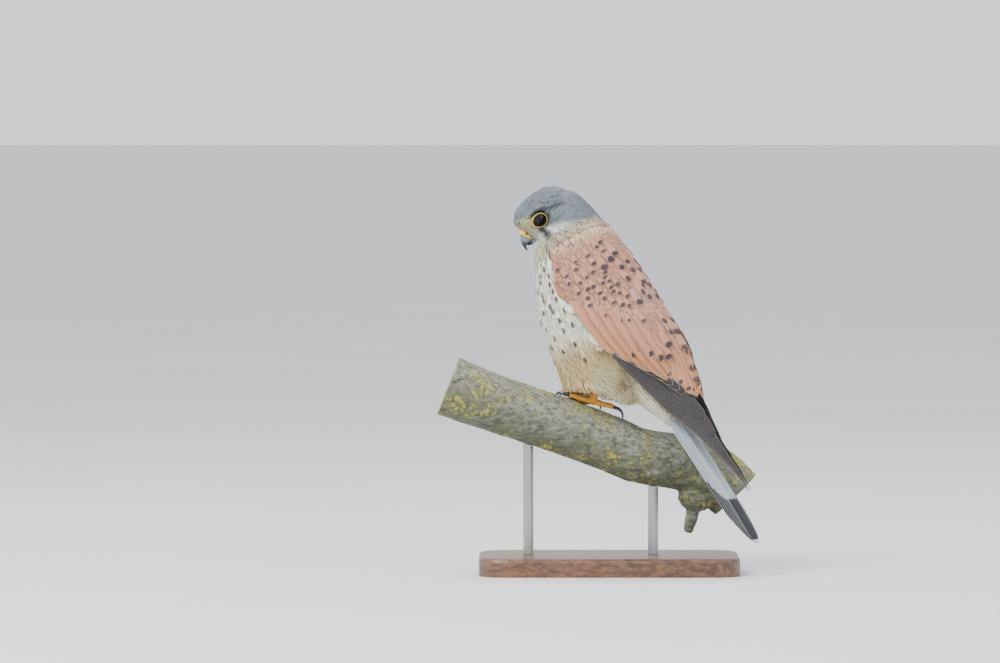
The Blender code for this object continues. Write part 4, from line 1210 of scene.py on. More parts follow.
def order_of(points):
    """Rank of a feather in its tract: height band, then angle round the body."""
    band = np.round(points[:, 2] / 4.0)
    angle = np.arctan2(points[:, 1], points[:, 0] + 30.0)
    return np.stack([band, angle], 1)


def lay_tract(kind, roots, labels, length, width, lift_low, lift_high, curl, tint, jitter=7.0,
              marks=None, trim=None, hang=None):
    """Fills a Feathers object with one feather at each root; hang lets tips fall free."""
    count = len(roots)
    normals = np.array([tri_normals[surface_tree.find_nearest(Vector(p))[2]] for p in roots])
    run = lie_of_coat(roots, normals, labels)
    side = np.cross(normals, run)
    turn = np.radians(rng.normal(0, jitter, count))[:, None]
    run = unit(run * np.cos(turn) + side * np.sin(turn))
    line, out = surface_walk(roots, run, length, kind.along)
    if hang is not None:
        fall = unit(run + normals * 0.1 - np.array([0.0, 0.0, 1.0]))
        steps = np.linspace(0, 1, kind.along)[None, :, None]
        p = side_view(to_left(roots, labels)[0])[0]
        floor = PERCH_Z + 8.5 - 8.5 * ease(602, 616, p)
        drop = np.maximum(roots[:, 2] - floor, 1.5) / np.maximum(-fall[:, 2], 0.3)
        reach = np.minimum(length, drop * rng.uniform(0.65, 1.3, count))
        free = roots[:, None] + fall[:, None] * reach[:, None, None] * steps
        weight = hang[:, None, None] * ease(0.1, 0.6, steps)
        line = line * (1 - weight) + free * weight
        out = unit(out * (1 - weight) + normals[:, None] * weight)
    colour_a = coat_colour(line[:, kind.along // 3], labels, normals)[0]
    colour_b, p, q, f, u = coat_colour(line[:, -2], labels, out[:, -2])
    light = 1 + rng.normal(0, tint, (count, 1))
    warm = 1 + rng.normal(0, tint * 0.3, (count, 3))
    colour_a = np.clip(colour_a * light * warm, 0, 1)
    colour_b = np.clip(colour_b * light * warm, 0, 1)
    spot = np.zeros((count, 3))
    spot[:, 0] = 0.7
    mark = np.zeros((count, 4))
    if marks is not None:
        spot, mark = marks(p, q, f, u, labels, spot, mark, line, out)
    if trim is None:
        trim = np.zeros((count, 3))
    lift = np.stack([np.broadcast_to(lift_low, (count,)), np.broadcast_to(lift_high, (count,))], 1)
    lift = lift + rng.normal(0, 0.08, (count, 2)) * [0, 1]
    half = width[:, None] / 2 * leaf_profile(np.linspace(0, 1, kind.along))[None]
    half = np.maximum(half, 0.03 * width[:, None])
    kind.add(line, out, half, lift, curl, colour_a, colour_b, spot, mark, trim,
             order_of(roots))


face_labels = labels_at((surface_points[surface_tris]).mean(1))
is_wing_face = np.char.startswith(face_labels.astype(str), "wing")


def scatter_on(mask, spacing):
    """Roots on the marked faces, with their labels and spacing."""
    chosen = surface_tris[mask]
    label = face_labels[mask]
    roots, pick, gaps = scatter(surface_points, chosen, lambda c, f: spacing(c))
    return roots, label[pick], gaps


def on_left_side(p, q):
    """Point of the coat that the camera sees at side-view units p, q."""
    u = (p - 609.0) / UNIT
    v = (402.0 - q) / UNIT
    start = CREST + RIGHT * u + UPWARD * v - AWAY * 600.0
    spot, normal, index, gap = surface_tree.ray_cast(Vector(start), Vector(AWAY))
    return None if spot is None else np.array(spot)


def marked_roots(places, distance, want):
    """Roots of feathers whose spots fall on listed places, on both sides of the bird."""
    roots, labels = [], []
    for p, q in places:
        spot = on_left_side(p, q)
        if spot is None:
            continue
        for mirror in (1.0, -1.0):
            here = spot * [1, mirror, 1]
            near = surface_tree.find_nearest(Vector(here))
            here = np.array(near[0])
            label = labels_at([here])
            if want not in label[0]:
                continue
            for k in range(4):
                normal = tri_normals[surface_tree.find_nearest(Vector(here))[2]]
                run = lie_of_coat(here[None], normal[None], label)[0]
                here = here - run * distance / 4
                here = np.array(surface_tree.find_nearest(Vector(here))[0])
            roots.append(here)
            labels.append(label[0])
    return np.array(roots), np.array(labels)


def head_marks(p, q, f, u, labels, spot, mark, line, out):
    count = len(p)
    dark = rng.random(count)
    crown = ease(217, 209, q) * ease(520, 535, p)
    cheek = ease(548, 556, p) * ease(219, 224, q) * ease(243, 236, q)
    rear = ease(572, 580, p) * ease(212, 220, q)
    strength = crown * (dark > 0.8) * 0.7 + cheek * (dark > 0.8) * 0.6
    strength = strength + rear * (dark > 0.8) * 0.7
    spot[:] = (1.5, 0.4, 1.4)
    mark[:, :3] = srgb(84, 88, 96)
    mark[:, 3] = np.clip(strength, 0, 0.8)
    return spot, mark


def neck_marks(p, q, f, u, labels, spot, mark, line, out):
    count = len(p)
    dark = rng.random(count)
    side = ease(540, 550, p) * ease(236, 244, q) * ease(300, 276, q)
    nape = ease(562, 574, p) * ease(214, 220, q)
    strength = np.maximum(side * (dark > 0.7), nape * (dark > 0.88))
    spot[:] = (2.4, 0.65, 2.2)
    mark[:, :3] = STREAK
    mark[:, 3] = strength * 0.8
    return spot, mark


def mantle_marks(p, q, f, u, labels, spot, mark, line, out):
    """Short dark marks in the buff band between the nape and the mantle."""
    top = near_line(p, q, MANTLE_TOP)
    strength = (rng.random(len(p)) > 0.5) * ease(20, 12, top)
    spot[:] = (1.7, 0.7, 1.1)
    mark[:, :3] = STREAK
    mark[:, 3] = strength * 0.85
    return spot, mark


def spotted(size_u, size_v, centre, tone=None):
    """Marks for feathers that each carry one dark spot near the tip, sizes in mm."""
    def marks(p, q, f, u, labels, spot, mark, line, out):
        count = len(p)
        spot[:, 0] = centre
        spot[:, 1] = size_u * rng.uniform(0.8, 1.2, count)
        spot[:, 2] = size_v * rng.uniform(0.85, 1.2, count)
        mark[:, :3] = (SPOT if tone is None else tone) * rng.uniform(0.75, 1.25, (count, 1))
        mark[:, 3] = 0.95
        return spot, mark
    return marks


def trims(count, low, high, width=0.35):
    return np.stack([rng.uniform(low, high, count), rng.uniform(0.8, 1.2, count) * width,
                     np.zeros(count)], 1)


def coat_piece(kind, name, material, nodes=()):
    made = new_object(name, kind.mesh(name))
    return finish_piece(made, nodes, material)


def make_head_coat(paint):
    mask = face_labels == "head"
    roots, labels, gaps = scatter_on(mask, head_room)
    keep = clear_of_eyes(roots) & clear_of_bill(roots, 0.4)
    roots, labels, gaps = roots[keep], labels[keep], gaps[keep]
    kind = Feathers(3, 5)
    count = len(roots)
    lay_tract(kind, roots, labels, gaps * 5.6, gaps * 1.6, -0.4, 0.08,
              np.full(count, 0.08), 0.15, 6.0, head_marks)
    return coat_piece(kind, "coat_head", paint)


def make_neck_coat(paint):
    mask = face_labels == "neck"
    roots, labels, gaps = scatter_on(
        mask, lambda c: 0.9 + 0.5 * ease(EYE_MIDPOINT[2] - 20, EYE_MIDPOINT[2] - 45, c[:, 2]))
    kind = Feathers(3, 5)
    count = len(roots)
    lay_tract(kind, roots, labels, gaps * 6.2, gaps * 1.8, -0.45, 0.2,
              np.full(count, 0.08), 0.13, 8.0, neck_marks)
    p, q = side_view(to_left(roots, labels)[0])
    chosen = []
    for n in rng.permutation(count):
        if p[n] > 536 and 230 < q[n] < 280 and (not chosen or np.linalg.norm(
                roots[chosen] - roots[n], axis=1).min() > 3.0):
            chosen.append(n)
    number = len(chosen)
    lay_tract(kind, roots[chosen], labels[chosen], np.full(number, 7.0), np.full(number, 2.0),
              -0.1, 0.45, np.full(number, 0.06), 0.05, 6.0, spotted(0.42, 1.8, 2.2, STREAK))
    return coat_piece(kind, "coat_neck", paint)


def make_body_coat(paint):
    mask = face_labels == "torso"

    def room(c):
        return 2.15 - 0.6 * ease(PERCH_Z + 45, PERCH_Z + 15, c[:, 2]) * ease(30, 0, c[:, 0])

    roots, labels, gaps = scatter_on(mask, room)
    kind = Feathers(5, 6, 0.05, True)
    count = len(roots)
    belly = ease(PERCH_Z + 30, PERCH_Z + 12, roots[:, 2]) * ease(24, 6, roots[:, 0])
    vent = ease(24, 40, roots[:, 0])
    length = gaps * (5.8 + 3.6 * belly + 5.0 * vent * rng.uniform(0.4, 1.0, count))
    lay_tract(kind, roots, labels, length, gaps * (1.6 - 0.35 * belly), -0.5,
              0.12 + 0.4 * belly, np.full(count, 0.06), 0.07, 6.0 + 3.0 * belly, hang=belly)
    length, back = 11.0, 1.9
    marked, marked_labels = marked_roots(BREAST_SPOTS, length - back, "torso")
    extra = []
    taken = list(marked)
    for n in rng.permutation(count):
        here = roots[n]
        height = here[2] - PERCH_Z
        if not 30 < height < 102:
            continue
        centre_x = np.interp(height, AXIS[::-1, 1], AXIS[::-1, 0])
        if here[0] > centre_x - 2 or abs(here[1]) > 32 or here[1] < -9:
            continue
        if all(np.linalg.norm(here - other) > 5.9 for other in taken):
            taken.append(here)
            extra.append(here)
    marked = np.array(list(marked) + extra)
    marked_labels = np.full(len(marked), "torso")
    number = len(marked)
    lay_tract(kind, marked, marked_labels, np.full(number, length), np.full(number, 5.4),
              0.0, 0.75, np.full(number, 0.06), 0.03, 3.0, spotted(1.45, 2.5, back + 0.4, STREAK))
    return coat_piece(kind, "coat_body", paint)


def make_thigh_coat(paint):
    mask = np.char.startswith(face_labels.astype(str), "thigh")
    roots, labels, gaps = scatter_on(mask, lambda c: np.full(len(c), 1.0))
    kind = Feathers(3, 7, 0.12)
    count = len(roots)
    low = ease(PERCH_Z + 26, PERCH_Z + 8, roots[:, 2])
    lay_tract(kind, roots, labels, gaps * (8.5 + 5.0 * low), gaps * 1.3, -0.6, 0.5,
              np.full(count, 0.1), 0.13, 8.0, hang=low)
    return coat_piece(kind, "coat_thighs", paint)


def make_wing_coat(side, paint):
    name = "wing_" + side
    mask = face_labels == name
    centres = surface_points[surface_tris[mask]].mean(1)
    station = wing_station(centres)
    room = 2.35 + 0.28 * station[:, 0]
    open_part = (station[:, 0] < 5.5 + 0.5 * station[:, 1]) | (station[:, 1] > 0.9)
    room = np.where(open_part & (station[:, 0] < 8.2), room, 0.0)
    chosen = surface_tris[mask]
    roots, pick, gaps = scatter(surface_points, chosen, lambda c, f: room)
    labels = np.full(len(roots), name)
    place = wing_station(roots)
    kind = Feathers(5, 6, 0.05, True)
    count = len(roots)
    high = 0.06 + 0.5 * ease(4.0, 5.5, place[:, 0])
    # The pale fringes of these small feathers are partly their own edges and partly painted light that
    # lifts the thin shadows between them
    lay_tract(kind, roots, labels, gaps * 4.4, gaps * 2.3, high - 0.4, high,
              np.full(count, 0.02), 0.03, 4.0, mantle_marks, trims(count, 0.3, 0.5))
    for places, length, wide, size_u, size_v, back in (
            (COVERT_SPOTS, 10.0, 6.0, 1.85, 1.5, 2.0), (LARGE_SPOTS, 15.0, 9.6, 3.1, 2.4, 3.3)):
        marked, marked_labels = marked_roots(places, length - back, name)
        number = len(marked)
        spot_at = wing_station(marked)
        behind = ease(4.4, 6.2, spot_at[:, 0] + 0.5)
        behind = behind + 0.7 * ease(5.4, 6.4, spot_at[:, 0]) * ease(0.5, 0.3, spot_at[:, 1])
        lay_tract(kind, marked, marked_labels, np.full(number, length), np.full(number, wide),
                  0.0 + 1.1 * behind, 0.7 + 1.5 * behind, np.full(number, 0.05), 0.03, 3.0,
                  spotted(size_u, size_v, back), trims(number, 0.0, 0.25))
    return coat_piece(kind, "coat_wing_" + side, paint)


# Flight and tail feathers

VANE_STEPS = 22


def vane_half(v, tip=0.1, root=0.6, broad=0.8):
    rise = root + (1 - root) * np.sin(np.clip(v / 0.3, 0, 1) * math.pi / 2)
    fall = np.sqrt(np.clip(1 - (np.clip(v - broad, 0, 1) / (1.004 - broad)) ** 2, 0, 1))
    return rise * np.maximum(fall, 0.04)


PRIMARY_STARTS = (0.0, 0.05, 0.11, 0.18, 0.27, 0.37, 0.48, 0.60, 0.72, 0.84)


def primary_lines():
    """Stations of the ten folded primaries of the left wing."""
    v = np.linspace(0, 1, VANE_STEPS)
    last = len(PRIMARY_ROWS) - 1
    lines, outs, halves = [], [], []
    for count, tip in enumerate(PRIMARY_TIPS):
        root = 0.006 * count
        row = catmull(PRIMARY_ROWS, (root + v * (tip - root)) * last)
        low = row[:, 0:3] + CREST
        top = row[:, 3:6] + CREST
        out = unit(np.cross(top - low, PRIMARY_RUN))
        out[out[:, 1] > 0] *= -1
        start = PRIMARY_STARTS[count]
        edge = start + (1 - start) * (v * tip) ** 4 * 0.8
        far = np.minimum(edge + 0.5, 1.0 + 0.006 * (9 - 2 * count))
        middle = low + (top - low) * ((edge + far) / 2)[:, None]
        middle = middle + out * 0.45 * (count - 3.4)
        half = (far - edge) / 2 * vane_half(v, 0.1, 0.6, 0.93) * np.linalg.norm(top - low, axis=1)
        lines.append(middle)
        outs.append(out)
        halves.append(np.maximum(half, 0.35))
    return np.array(lines), np.array(outs), np.array(halves)


# Inner flight feathers and tertials: first and last row, lower and upper share, overlap order
INNER_VANES = (
    (3.2, 6.6, 0.03, 0.24), (3.4, 7.2, 0.10, 0.36), (3.6, 7.9, 0.18, 0.48),
    (3.8, 8.5, 0.26, 0.60), (4.0, 9.1, 0.36, 0.72), (4.2, 9.6, 0.48, 0.84),
    (4.5, 9.7, 0.60, 0.94), (4.8, 9.3, 0.74, 1.0))


def inner_lines():
    v = np.linspace(0, 1, VANE_STEPS)
    lines, outs, halves = [], [], []
    for count, (start, end, low, top) in enumerate(INNER_VANES):
        place = start + (end - start) * v
        middle = (low + top) / 2
        centre = wing_points(place, np.full(len(v), middle))
        row = catmull(WING_ROWS, place)
        corner = np.stack([row[:, 0], row[:, 4], row[:, 2] + PERCH_Z], 1)
        out = unit(centre - corner)
        edge_a = wing_points(place, np.full(len(v), low))
        edge_b = wing_points(place, np.full(len(v), top))
        half = np.linalg.norm(edge_b - edge_a, axis=1) / 2 * vane_half(v, 0.1, 0.8, 0.82)
        rise = -1.2 + (1.25 + 0.12 * count) * ease(0.0, 0.4, v) + 0.3 * v
        lines.append(centre + out * rise[:, None])
        outs.append(out)
        halves.append(np.maximum(half, 0.4))
    return np.array(lines), np.array(outs), np.array(halves)


def covert_lines():
    """Dark primary coverts along the lower edge of the wing."""
    v = np.linspace(0, 1, VANE_STEPS)
    lines, outs, halves = [], [], []
    for count in range(9):
        place = 4.9 + 0.36 * count + v * 2.0
        place = np.minimum(place, 9.9)
        low = 0.0 + 0.02 * count
        middle = np.full(len(v), low + 0.045)
        centre = wing_points(place, middle)
        row = catmull(WING_ROWS, place)
        corner = np.stack([row[:, 0], row[:, 4], row[:, 2] + PERCH_Z], 1)
        out = unit(centre - corner)
        half = 3.4 * vane_half(v, 0.1, 0.7, 0.75)
        lines.append(centre + out * (0.15 - 0.05 * count + 0.3 * v[:, None]))
        outs.append(out)
        halves.append(np.maximum(half, 0.3))
    return np.array(lines), np.array(outs), np.array(halves)


def mirror_lines(lines, outs, side):
    if side == "left":
        return lines, outs
    return lines * [1, -1, 1], outs * [1, -1, 1]


def line_colours(lines, colour_at):
    a = colour_at(lines[:, VANE_STEPS // 3])
    b = colour_at(lines[:, -2])
    return a, b


def constant(count, *values):
    return np.tile(np.array(values, float), (count, 1))


def make_flights(side, rufous_paint, dusky_paint):
    lines, outs, halves = inner_lines()
    lines, outs = mirror_lines(lines, outs, side)
    count = len(lines)
    kind = Feathers(9, VANE_STEPS, 0.015)

    def tone(points):
        left = points * [1, -1, 1] if side == "right" else points
        p, q = side_view(left)
        return wing_colour(p, q)

    a, b = line_colours(lines, tone)
    a[:] = RUFOUS * 0.92
    b[:] = RUFOUS_WARM * 0.94
    order = np.stack([np.arange(count), np.zeros(count)], 1)
    edges = constant(count, 0.15, 0.6, 0.9)
    edges[0] = (1.0, 0.9, 1.0)
    tip_mark = constant(count, *SPOT, 0.0)
    tip_mark[3:7, 3] = 0.9
    kind.add(lines, outs, halves, np.zeros((count, 2)), np.full(count, 0.08), a, b,
             constant(count, 6.0, 2.3, 1.8), tip_mark, edges, order)
    lines, outs, halves = covert_lines()
    lines, outs = mirror_lines(lines, outs, side)
    number = len(lines)
    order = np.stack([np.arange(number) - 50, np.zeros(number)], 1)
    dusk = DUSK * 0.75
    kind.add(lines, outs, halves, np.zeros((number, 2)), np.full(number, 0.14),
             constant(number, *dusk), constant(number, *dusk),
             constant(number, 1.0, 0.01, 0.01), constant(number, 0, 0, 0, 0),
             constant(number, 0.2, 0.3, 0.9), order)
    finish_piece(new_object("tertials_" + side, kind.mesh("tertials_" + side)),
                 (), rufous_paint)
    lines, outs, halves = primary_lines()
    lines, outs = mirror_lines(lines, outs, side)
    count = len(lines)
    dusk = srgb(70, 67, 70)
    kind = Feathers(9, VANE_STEPS, 0.012)
    order = np.stack([np.arange(count), np.zeros(count)], 1)
    kind.add(lines, outs, halves, np.zeros((count, 2)), np.full(count, 0.12),
             constant(count, *dusk), constant(count, *(dusk * 0.9)),
             constant(count, 1.0, 0.01, 0.01), constant(count, 0, 0, 0, 0),
             constant(count, 0.4, 0.22, 0.0), order)
    finish_piece(new_object("flights_" + side, kind.mesh("flights_" + side)),
                 ("primaries_" + side,), dusky_paint)


def tail_points(along, across, lift):
    arch = TAIL_ARCH * (1 - np.clip(along / TAIL_LENGTH, 0, 1) ** 4)
    lift = lift + arch * (1 - (across / TAIL_HALF_WIDTH) ** 2)
    run = np.array([math.cos(TAIL_FALL), 0.0, -math.sin(TAIL_FALL)])
    rise = np.array([math.sin(TAIL_FALL), 0.0, math.cos(TAIL_FALL)])
    return (TAIL_ROOT + run * along[..., None] + np.array([0.0, 1.0, 0.0]) * across[..., None]
            + rise * lift[..., None])


def make_tail(paint):
    v = np.linspace(0, 1, VANE_STEPS)
    rise = np.array([math.sin(TAIL_FALL), 0.0, math.cos(TAIL_FALL)])
    lines, halves = [], []
    for pair in range(TAIL_PAIRS):
        share = pair / (TAIL_PAIRS - 1)
        start = TAIL_START - 10.0
        length = TAIL_LENGTH - TAIL_STEP_BACK * share ** 2 - start
        spread = (TAIL_HALF_WIDTH - 8.0) * (0.06 + 0.94 * share)
        for hand in (-1, 1):
            lift = -0.45 * (pair + (0.5 if hand < 0 else 0.0)) * np.ones(VANE_STEPS)
            opened = np.minimum(1.0, v / 0.3)
            middle = hand * spread * (0.45 + 0.55 * opened)
            lines.append(tail_points(start + length * v, middle, lift))
            halves.append(np.maximum(8.4 * vane_half(v, 0.1, 0.8, 0.9) * (0.55 + 0.45 * opened), 0.4))
    lines = np.array(lines)
    count = len(lines)
    outs = np.broadcast_to(rise, lines.shape).copy()
    kind = Feathers(9, VANE_STEPS, 0.012)
    order = np.stack([np.arange(count), np.zeros(count)], 1)
    kind.add(lines, outs, np.array(halves), np.zeros((count, 2)), np.full(count, 0.07),
             constant(count, *TAIL_GREY), constant(count, *TAIL_GREY),
             constant(count, 1.0, 0.01, 0.01), constant(count, 0, 0, 0, 0),
             constant(count, 0.0, 0.1, 0.0), order)
    finish_piece(new_object("tail_vanes", kind.mesh("tail_vanes")),
                 ("tail",), paint)


def tail_paint():
    """Blue-grey vanes with a black band before a white tip, measured back from the tip."""
    m = Nodes("tail_detail")
    u, v, seed = m.split(m.attribute("fuv").outputs["Vector"])[:3]
    length = m.split(m.attribute("span").outputs["Vector"])[1]
    side = m.math("ABSOLUTE", u)
    slant = m.math("SUBTRACT", m.math("MULTIPLY", v, 60.0), m.math("MULTIPLY", side, 5.0))
    barbs = m.noise(m.join(slant, m.math("MULTIPLY", seed, 91.0), m.math("SIGN", u)), 1.6, 4.0, 0.65)
    back = m.math("MULTIPLY", m.math("SUBTRACT", 1.0, v), length)
    back = m.math("ADD", back, m.math("MULTIPLY", m.math("SUBTRACT", barbs, 0.5), 3.0))
    tone = m.math("ADD", 0.86, m.math("MULTIPLY", barbs, 0.3))
    base = m.mix(1.0, m.attribute("base").outputs["Color"], m.join(tone, tone, tone), "MULTIPLY")
    band = m.ramp(back, 41.0, 38.5)
    white = m.ramp(back, 3.6, 2.6)
    colour = m.mix(band, base, srgb(44, 44, 50))
    colour = m.mix(white, colour, srgb(226, 224, 216))
    edge = m.math("MULTIPLY", m.ramp(side, 0.88, 0.97), 0.5)
    colour = m.mix(edge, colour, srgb(206, 210, 214))
    line = m.math("MULTIPLY", m.math("SUBTRACT", 1.0, m.ramp(side, 0.015, 0.05)), 0.45)
    colour = m.mix(line, colour, srgb(66, 64, 66))
    m.colour(colour)
    m.rough(m.math("ADD", 0.62, m.math("MULTIPLY", barbs, 0.25)))
    m.shader.inputs["Specular IOR Level"].default_value = 0.3
    m.bump(barbs, 0.5, 0.0003)
    return m.material


# Hard parts

def fine_copy(name, nodes, voxel, rounds, material, colour=None, warp=None):
    mesh = remeshed(nodes, voxel, rounds)
    points, normals = vertex_arrays(mesh)
    if warp is not None:
        set_points(mesh, warp(points, normals))
        points, normals = vertex_arrays(mesh)
    if colour is not None:
        put_colour(mesh, "base", colour(points))
    mesh.shade_smooth()
    made = new_object(name, mesh)
    return finish_piece(made, nodes, material)


def horn_paint(name, rough, coat):
    m = Nodes(name)
    place = m.place()
    fine = m.noise(place, 900.0, 4.0, 0.6)
    broad = m.noise(place, 220.0, 3.0, 0.5)
    tone = m.math("ADD", 0.8, m.math("MULTIPLY", broad, 0.4))
    m.colour(m.mix(1.0, m.attribute("base").outputs["Color"], m.join(tone, tone, tone), "MULTIPLY"))
    m.rough(m.math("ADD", rough, m.math("MULTIPLY", fine, 0.16)))
    m.shader.inputs["Coat Weight"].default_value = coat
    m.shader.inputs["Coat Roughness"].default_value = 0.2
    m.bump(m.math("ADD", fine, broad), 0.2, 0.0002)
    return m.material


def bill_colour(points):
    p, q = side_view(points)
    rel = points - EYE_MIDPOINT
    f, u = rel @ HF, rel @ HU
    colour = np.broadcast_to(srgb(104, 118, 138), points.shape).copy()
    colour = blend(colour, srgb(168, 176, 180), ease(17.5, 14.5, f) * 0.6)
    colour = blend(colour, srgb(28, 30, 36), ease(18.6, 23.0, f - 0.6 * (u + 4)))
    colour = blend(colour, srgb(150, 140, 86), ease(13.5, 11.0, f) * ease(-4, -7, u) * 0.9)
    return colour


def closed_rim(points, normals):
    """Lower bill with its rim brought up to the upper bill, so that the bill looks shut."""
    u = (points - EYE_MIDPOINT) @ HU
    return points + HU * (0.5 * ease(-13.0, -11.0, u))[:, None]


def cere_colour(points):
    rel = points - EYE_MIDPOINT
    colour = np.broadcast_to(srgb(232, 196, 52), points.shape).copy()
    f, u, l = rel @ HF, rel @ HU, np.abs(rel @ HL)
    # Painted shade: a darker brown spot stands in for the nostril's opening, which the cere's shape does
    # not have
    gap = np.sqrt((f - 14.2) ** 2 + (u + 2.4) ** 2 + (l - 5.0) ** 2)
    return blend(colour, srgb(150, 84, 30), ease(2.0, 0.9, gap) * 0.9)


# Direction of the ring's lobe, from straight up towards the bill
LOBE_AT = math.radians(-55.0)


def make_eyes(eye_material, ring_material):
    for label, side in SIDES:
        centre, pole, up, ahead = eye_place(side)
        rings, around = 40, 64
        points = []
        for i in range(rings + 1):
            polar = math.pi * i / rings
            for k in range(around):
                turn = 2 * math.pi * k / around
                points.append(pole * math.cos(polar)
                              + (ahead * math.cos(turn) + up * math.sin(turn)) * math.sin(polar))
        points = np.array(points)
        faces = []
        for i in range(rings):
            for k in range(around):
                a = i * around + k
                b = i * around + (k + 1) % around
                faces.append((a, b, b + around, a + around))
        local = np.stack([points @ ahead, points @ up, points @ pole], 1)
        mesh = bpy.data.meshes.new("eyeball_" + label)
        mesh.from_pydata(((centre + points * EYE_RADIUS) * MM).tolist(), [], faces)
        tidy(mesh)
        local = np.empty(len(mesh.vertices) * 3, np.float32)
        mesh.vertices.foreach_get("co", local)
        local = (local.reshape(-1, 3) / MM - centre) / EYE_RADIUS
        put_vector(mesh, "eyeplace", np.stack([local @ ahead, local @ up, local @ pole], 1))
        mesh.shade_smooth()
        finish_piece(new_object("eyeball_" + label, mesh), ("eye_" + label,),
                     eye_material)
        # Ring of bare skin, with a fold inside and a fuller lobe below and in front
        around, tube = 120, 18
        points, faces = [], []
        for i in range(around):
            turn = 2 * math.pi * i / around
            out = up * math.cos(turn) + ahead * math.sin(turn)
            lobe = max(0.0, math.cos(turn - LOBE_AT * side)) ** 3
            for k in range(tube):
                a = 2 * math.pi * k / tube
                fold = 1.0 - 0.2 * math.exp(-((math.degrees(a) - 75) / 20) ** 2)
                grain = noise.noise(Vector((11 * math.cos(turn), 11 * math.sin(turn), 1.5 * a)))
                r = 0.38 * fold * (1 + 0.07 * grain)
                spread = 1.0 + 3.0 * lobe * (math.cos(a) > 0)
                reach = LID_RADIUS + 0.36 + 0.5 * lobe + r * spread * math.cos(a)
                points.append(centre + out * reach
                              + pole * (LID_OUT + 0.1 + 1.0 * lobe + r * math.sin(a)))
        for i in range(around):
            for k in range(tube):
                a = i * tube + k
                b = i * tube + (k + 1) % tube
                c = ((i + 1) % around) * tube
                faces.append((a, b, c + (k + 1) % tube, c + k))
        points = np.array(points)
        mesh = bpy.data.meshes.new("eye_ring_" + label)
        mesh.from_pydata((points * MM).tolist(), [], faces)
        tidy(mesh)
        mesh.shade_smooth()
        finish_piece(new_object("eye_ring_" + label, mesh), ("eyelid_" + label,),
                     ring_material)


def tidy(mesh):
    """Weld doubled points and turn faces outwards."""
    work = bmesh.new()
    work.from_mesh(mesh)
    bmesh.ops.remove_doubles(work, verts=work.verts, dist=1e-7)
    bmesh.ops.recalc_face_normals(work, faces=work.faces)
    work.to_mesh(mesh)
    work.free()


def make_perch(material):
    def warp(points, normals):
        out = points.copy()
        for n, p in enumerate(points):
            v = Vector(p)
            ridge = noise.fractal(Vector((v.x * 0.035, v.y * 0.16, v.z * 0.16)), 0.9, 2.0, 5)
            grain = noise.noise(v * 0.6)
            out[n] = p + normals[n] * (0.45 * ridge + 0.14 * grain - 0.25)
        return out

    mesh = remeshed(["perch"], 0.95, 3)
    points, normals = vertex_arrays(mesh)
    centre = (points.min(0) + points.max(0)) / 2
    plan = np.array([math.cos(TURN), math.sin(TURN), 0.0])
    ends = (np.abs(normals @ plan) > 0.86)
    station = points @ plan
    ends &= (station > station.max() - 14) | (station < station.min() + 14)
    set_points(mesh, np.where(ends[:, None], points, warp(points, normals)))
    cut = mesh.attributes.new("cut", "FLOAT", "POINT")
    cut.data.foreach_set("value", ends.astype(np.float32))
    near = station < 0
    local = np.zeros_like(points)
    for side in (near, ~near):
        middle = points[side & ends].mean(0)
        local[side] = points[side] - middle
    put_vector(mesh, "cutplace", local / 1000.0)
    mesh.shade_smooth()
    finish_piece(new_object("perch_bark", mesh), ("perch",), material)


# The scene

skin = make_skin()
head_paint = feather_paint("head_feather", 0.12, 0.12)
breast_paint = feather_paint("breast_feather", 0.06, 0.06)
fluff_paint = feather_paint("fluffy_feather", 0.12, 0.0)
wing_paint = feather_paint("wing_feather", 0.07, 0.12)
rufous_vane_paint = feather_paint("rufous_vane", 0.07, 0.25)
dusky_vane_paint = feather_paint("dusky_vane", 0.14, 0.3)
make_head_coat(head_paint)
make_neck_coat(head_paint)
make_body_coat(breast_paint)
make_thigh_coat(fluff_paint)
for label, hand in SIDES:
    make_wing_coat(label, wing_paint)
    make_flights(label, rufous_vane_paint, dusky_vane_paint)
make_tail(tail_paint())

ring_material = scale_paint("eye_ring_skin", srgb(206, 190, 84), srgb(150, 134, 60), 2600.0, 0.5, 0.4)
make_eyes(eye_paint(), ring_material)
horn = horn_paint("bill_detail", 0.3, 0.15)
fine_copy("bill_upper_fine", ["upper_bill"], 0.35, 8, horn, bill_colour)
fine_copy("bill_lower_fine", ["lower_bill"], 0.3, 5, horn, bill_colour,
          closed_rim)
fine_copy("cere_fine", ["cere"], 0.3, 5, horn_paint("cere_detail", 0.42, 0.05),
          cere_colour)
foot_skin = scale_paint("foot_detail", srgb(228, 160, 42), srgb(190, 118, 30), 700.0, 0.42, 0.55)
claw_horn = plain_paint("claw_detail", srgb(34, 34, 38), srgb(62, 60, 60), 500.0, 0.28, 0.5, 0.2,
                        0.3, 0.0001)
for label, hand in SIDES:
    fine_copy("foot_fine_" + label, ["foot_" + label], 0.5, 5, foot_skin)
    for toe in ("inner", "middle", "outer", "hind"):
        node = "claw_%s_%s" % (label, toe)
        fine_copy(node + "_fine", [node], 0.22, 3, claw_horn)
make_perch(bark_paint())

wood = wood_paint()
steel = steel_paint()
for node, material in (("stand_base", wood), ("stand_rod_front", steel), ("stand_rod_rear", steel)):
    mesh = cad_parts[node].data
    mesh.materials.clear()
    mesh.materials.append(material)


# Floor, light and camera

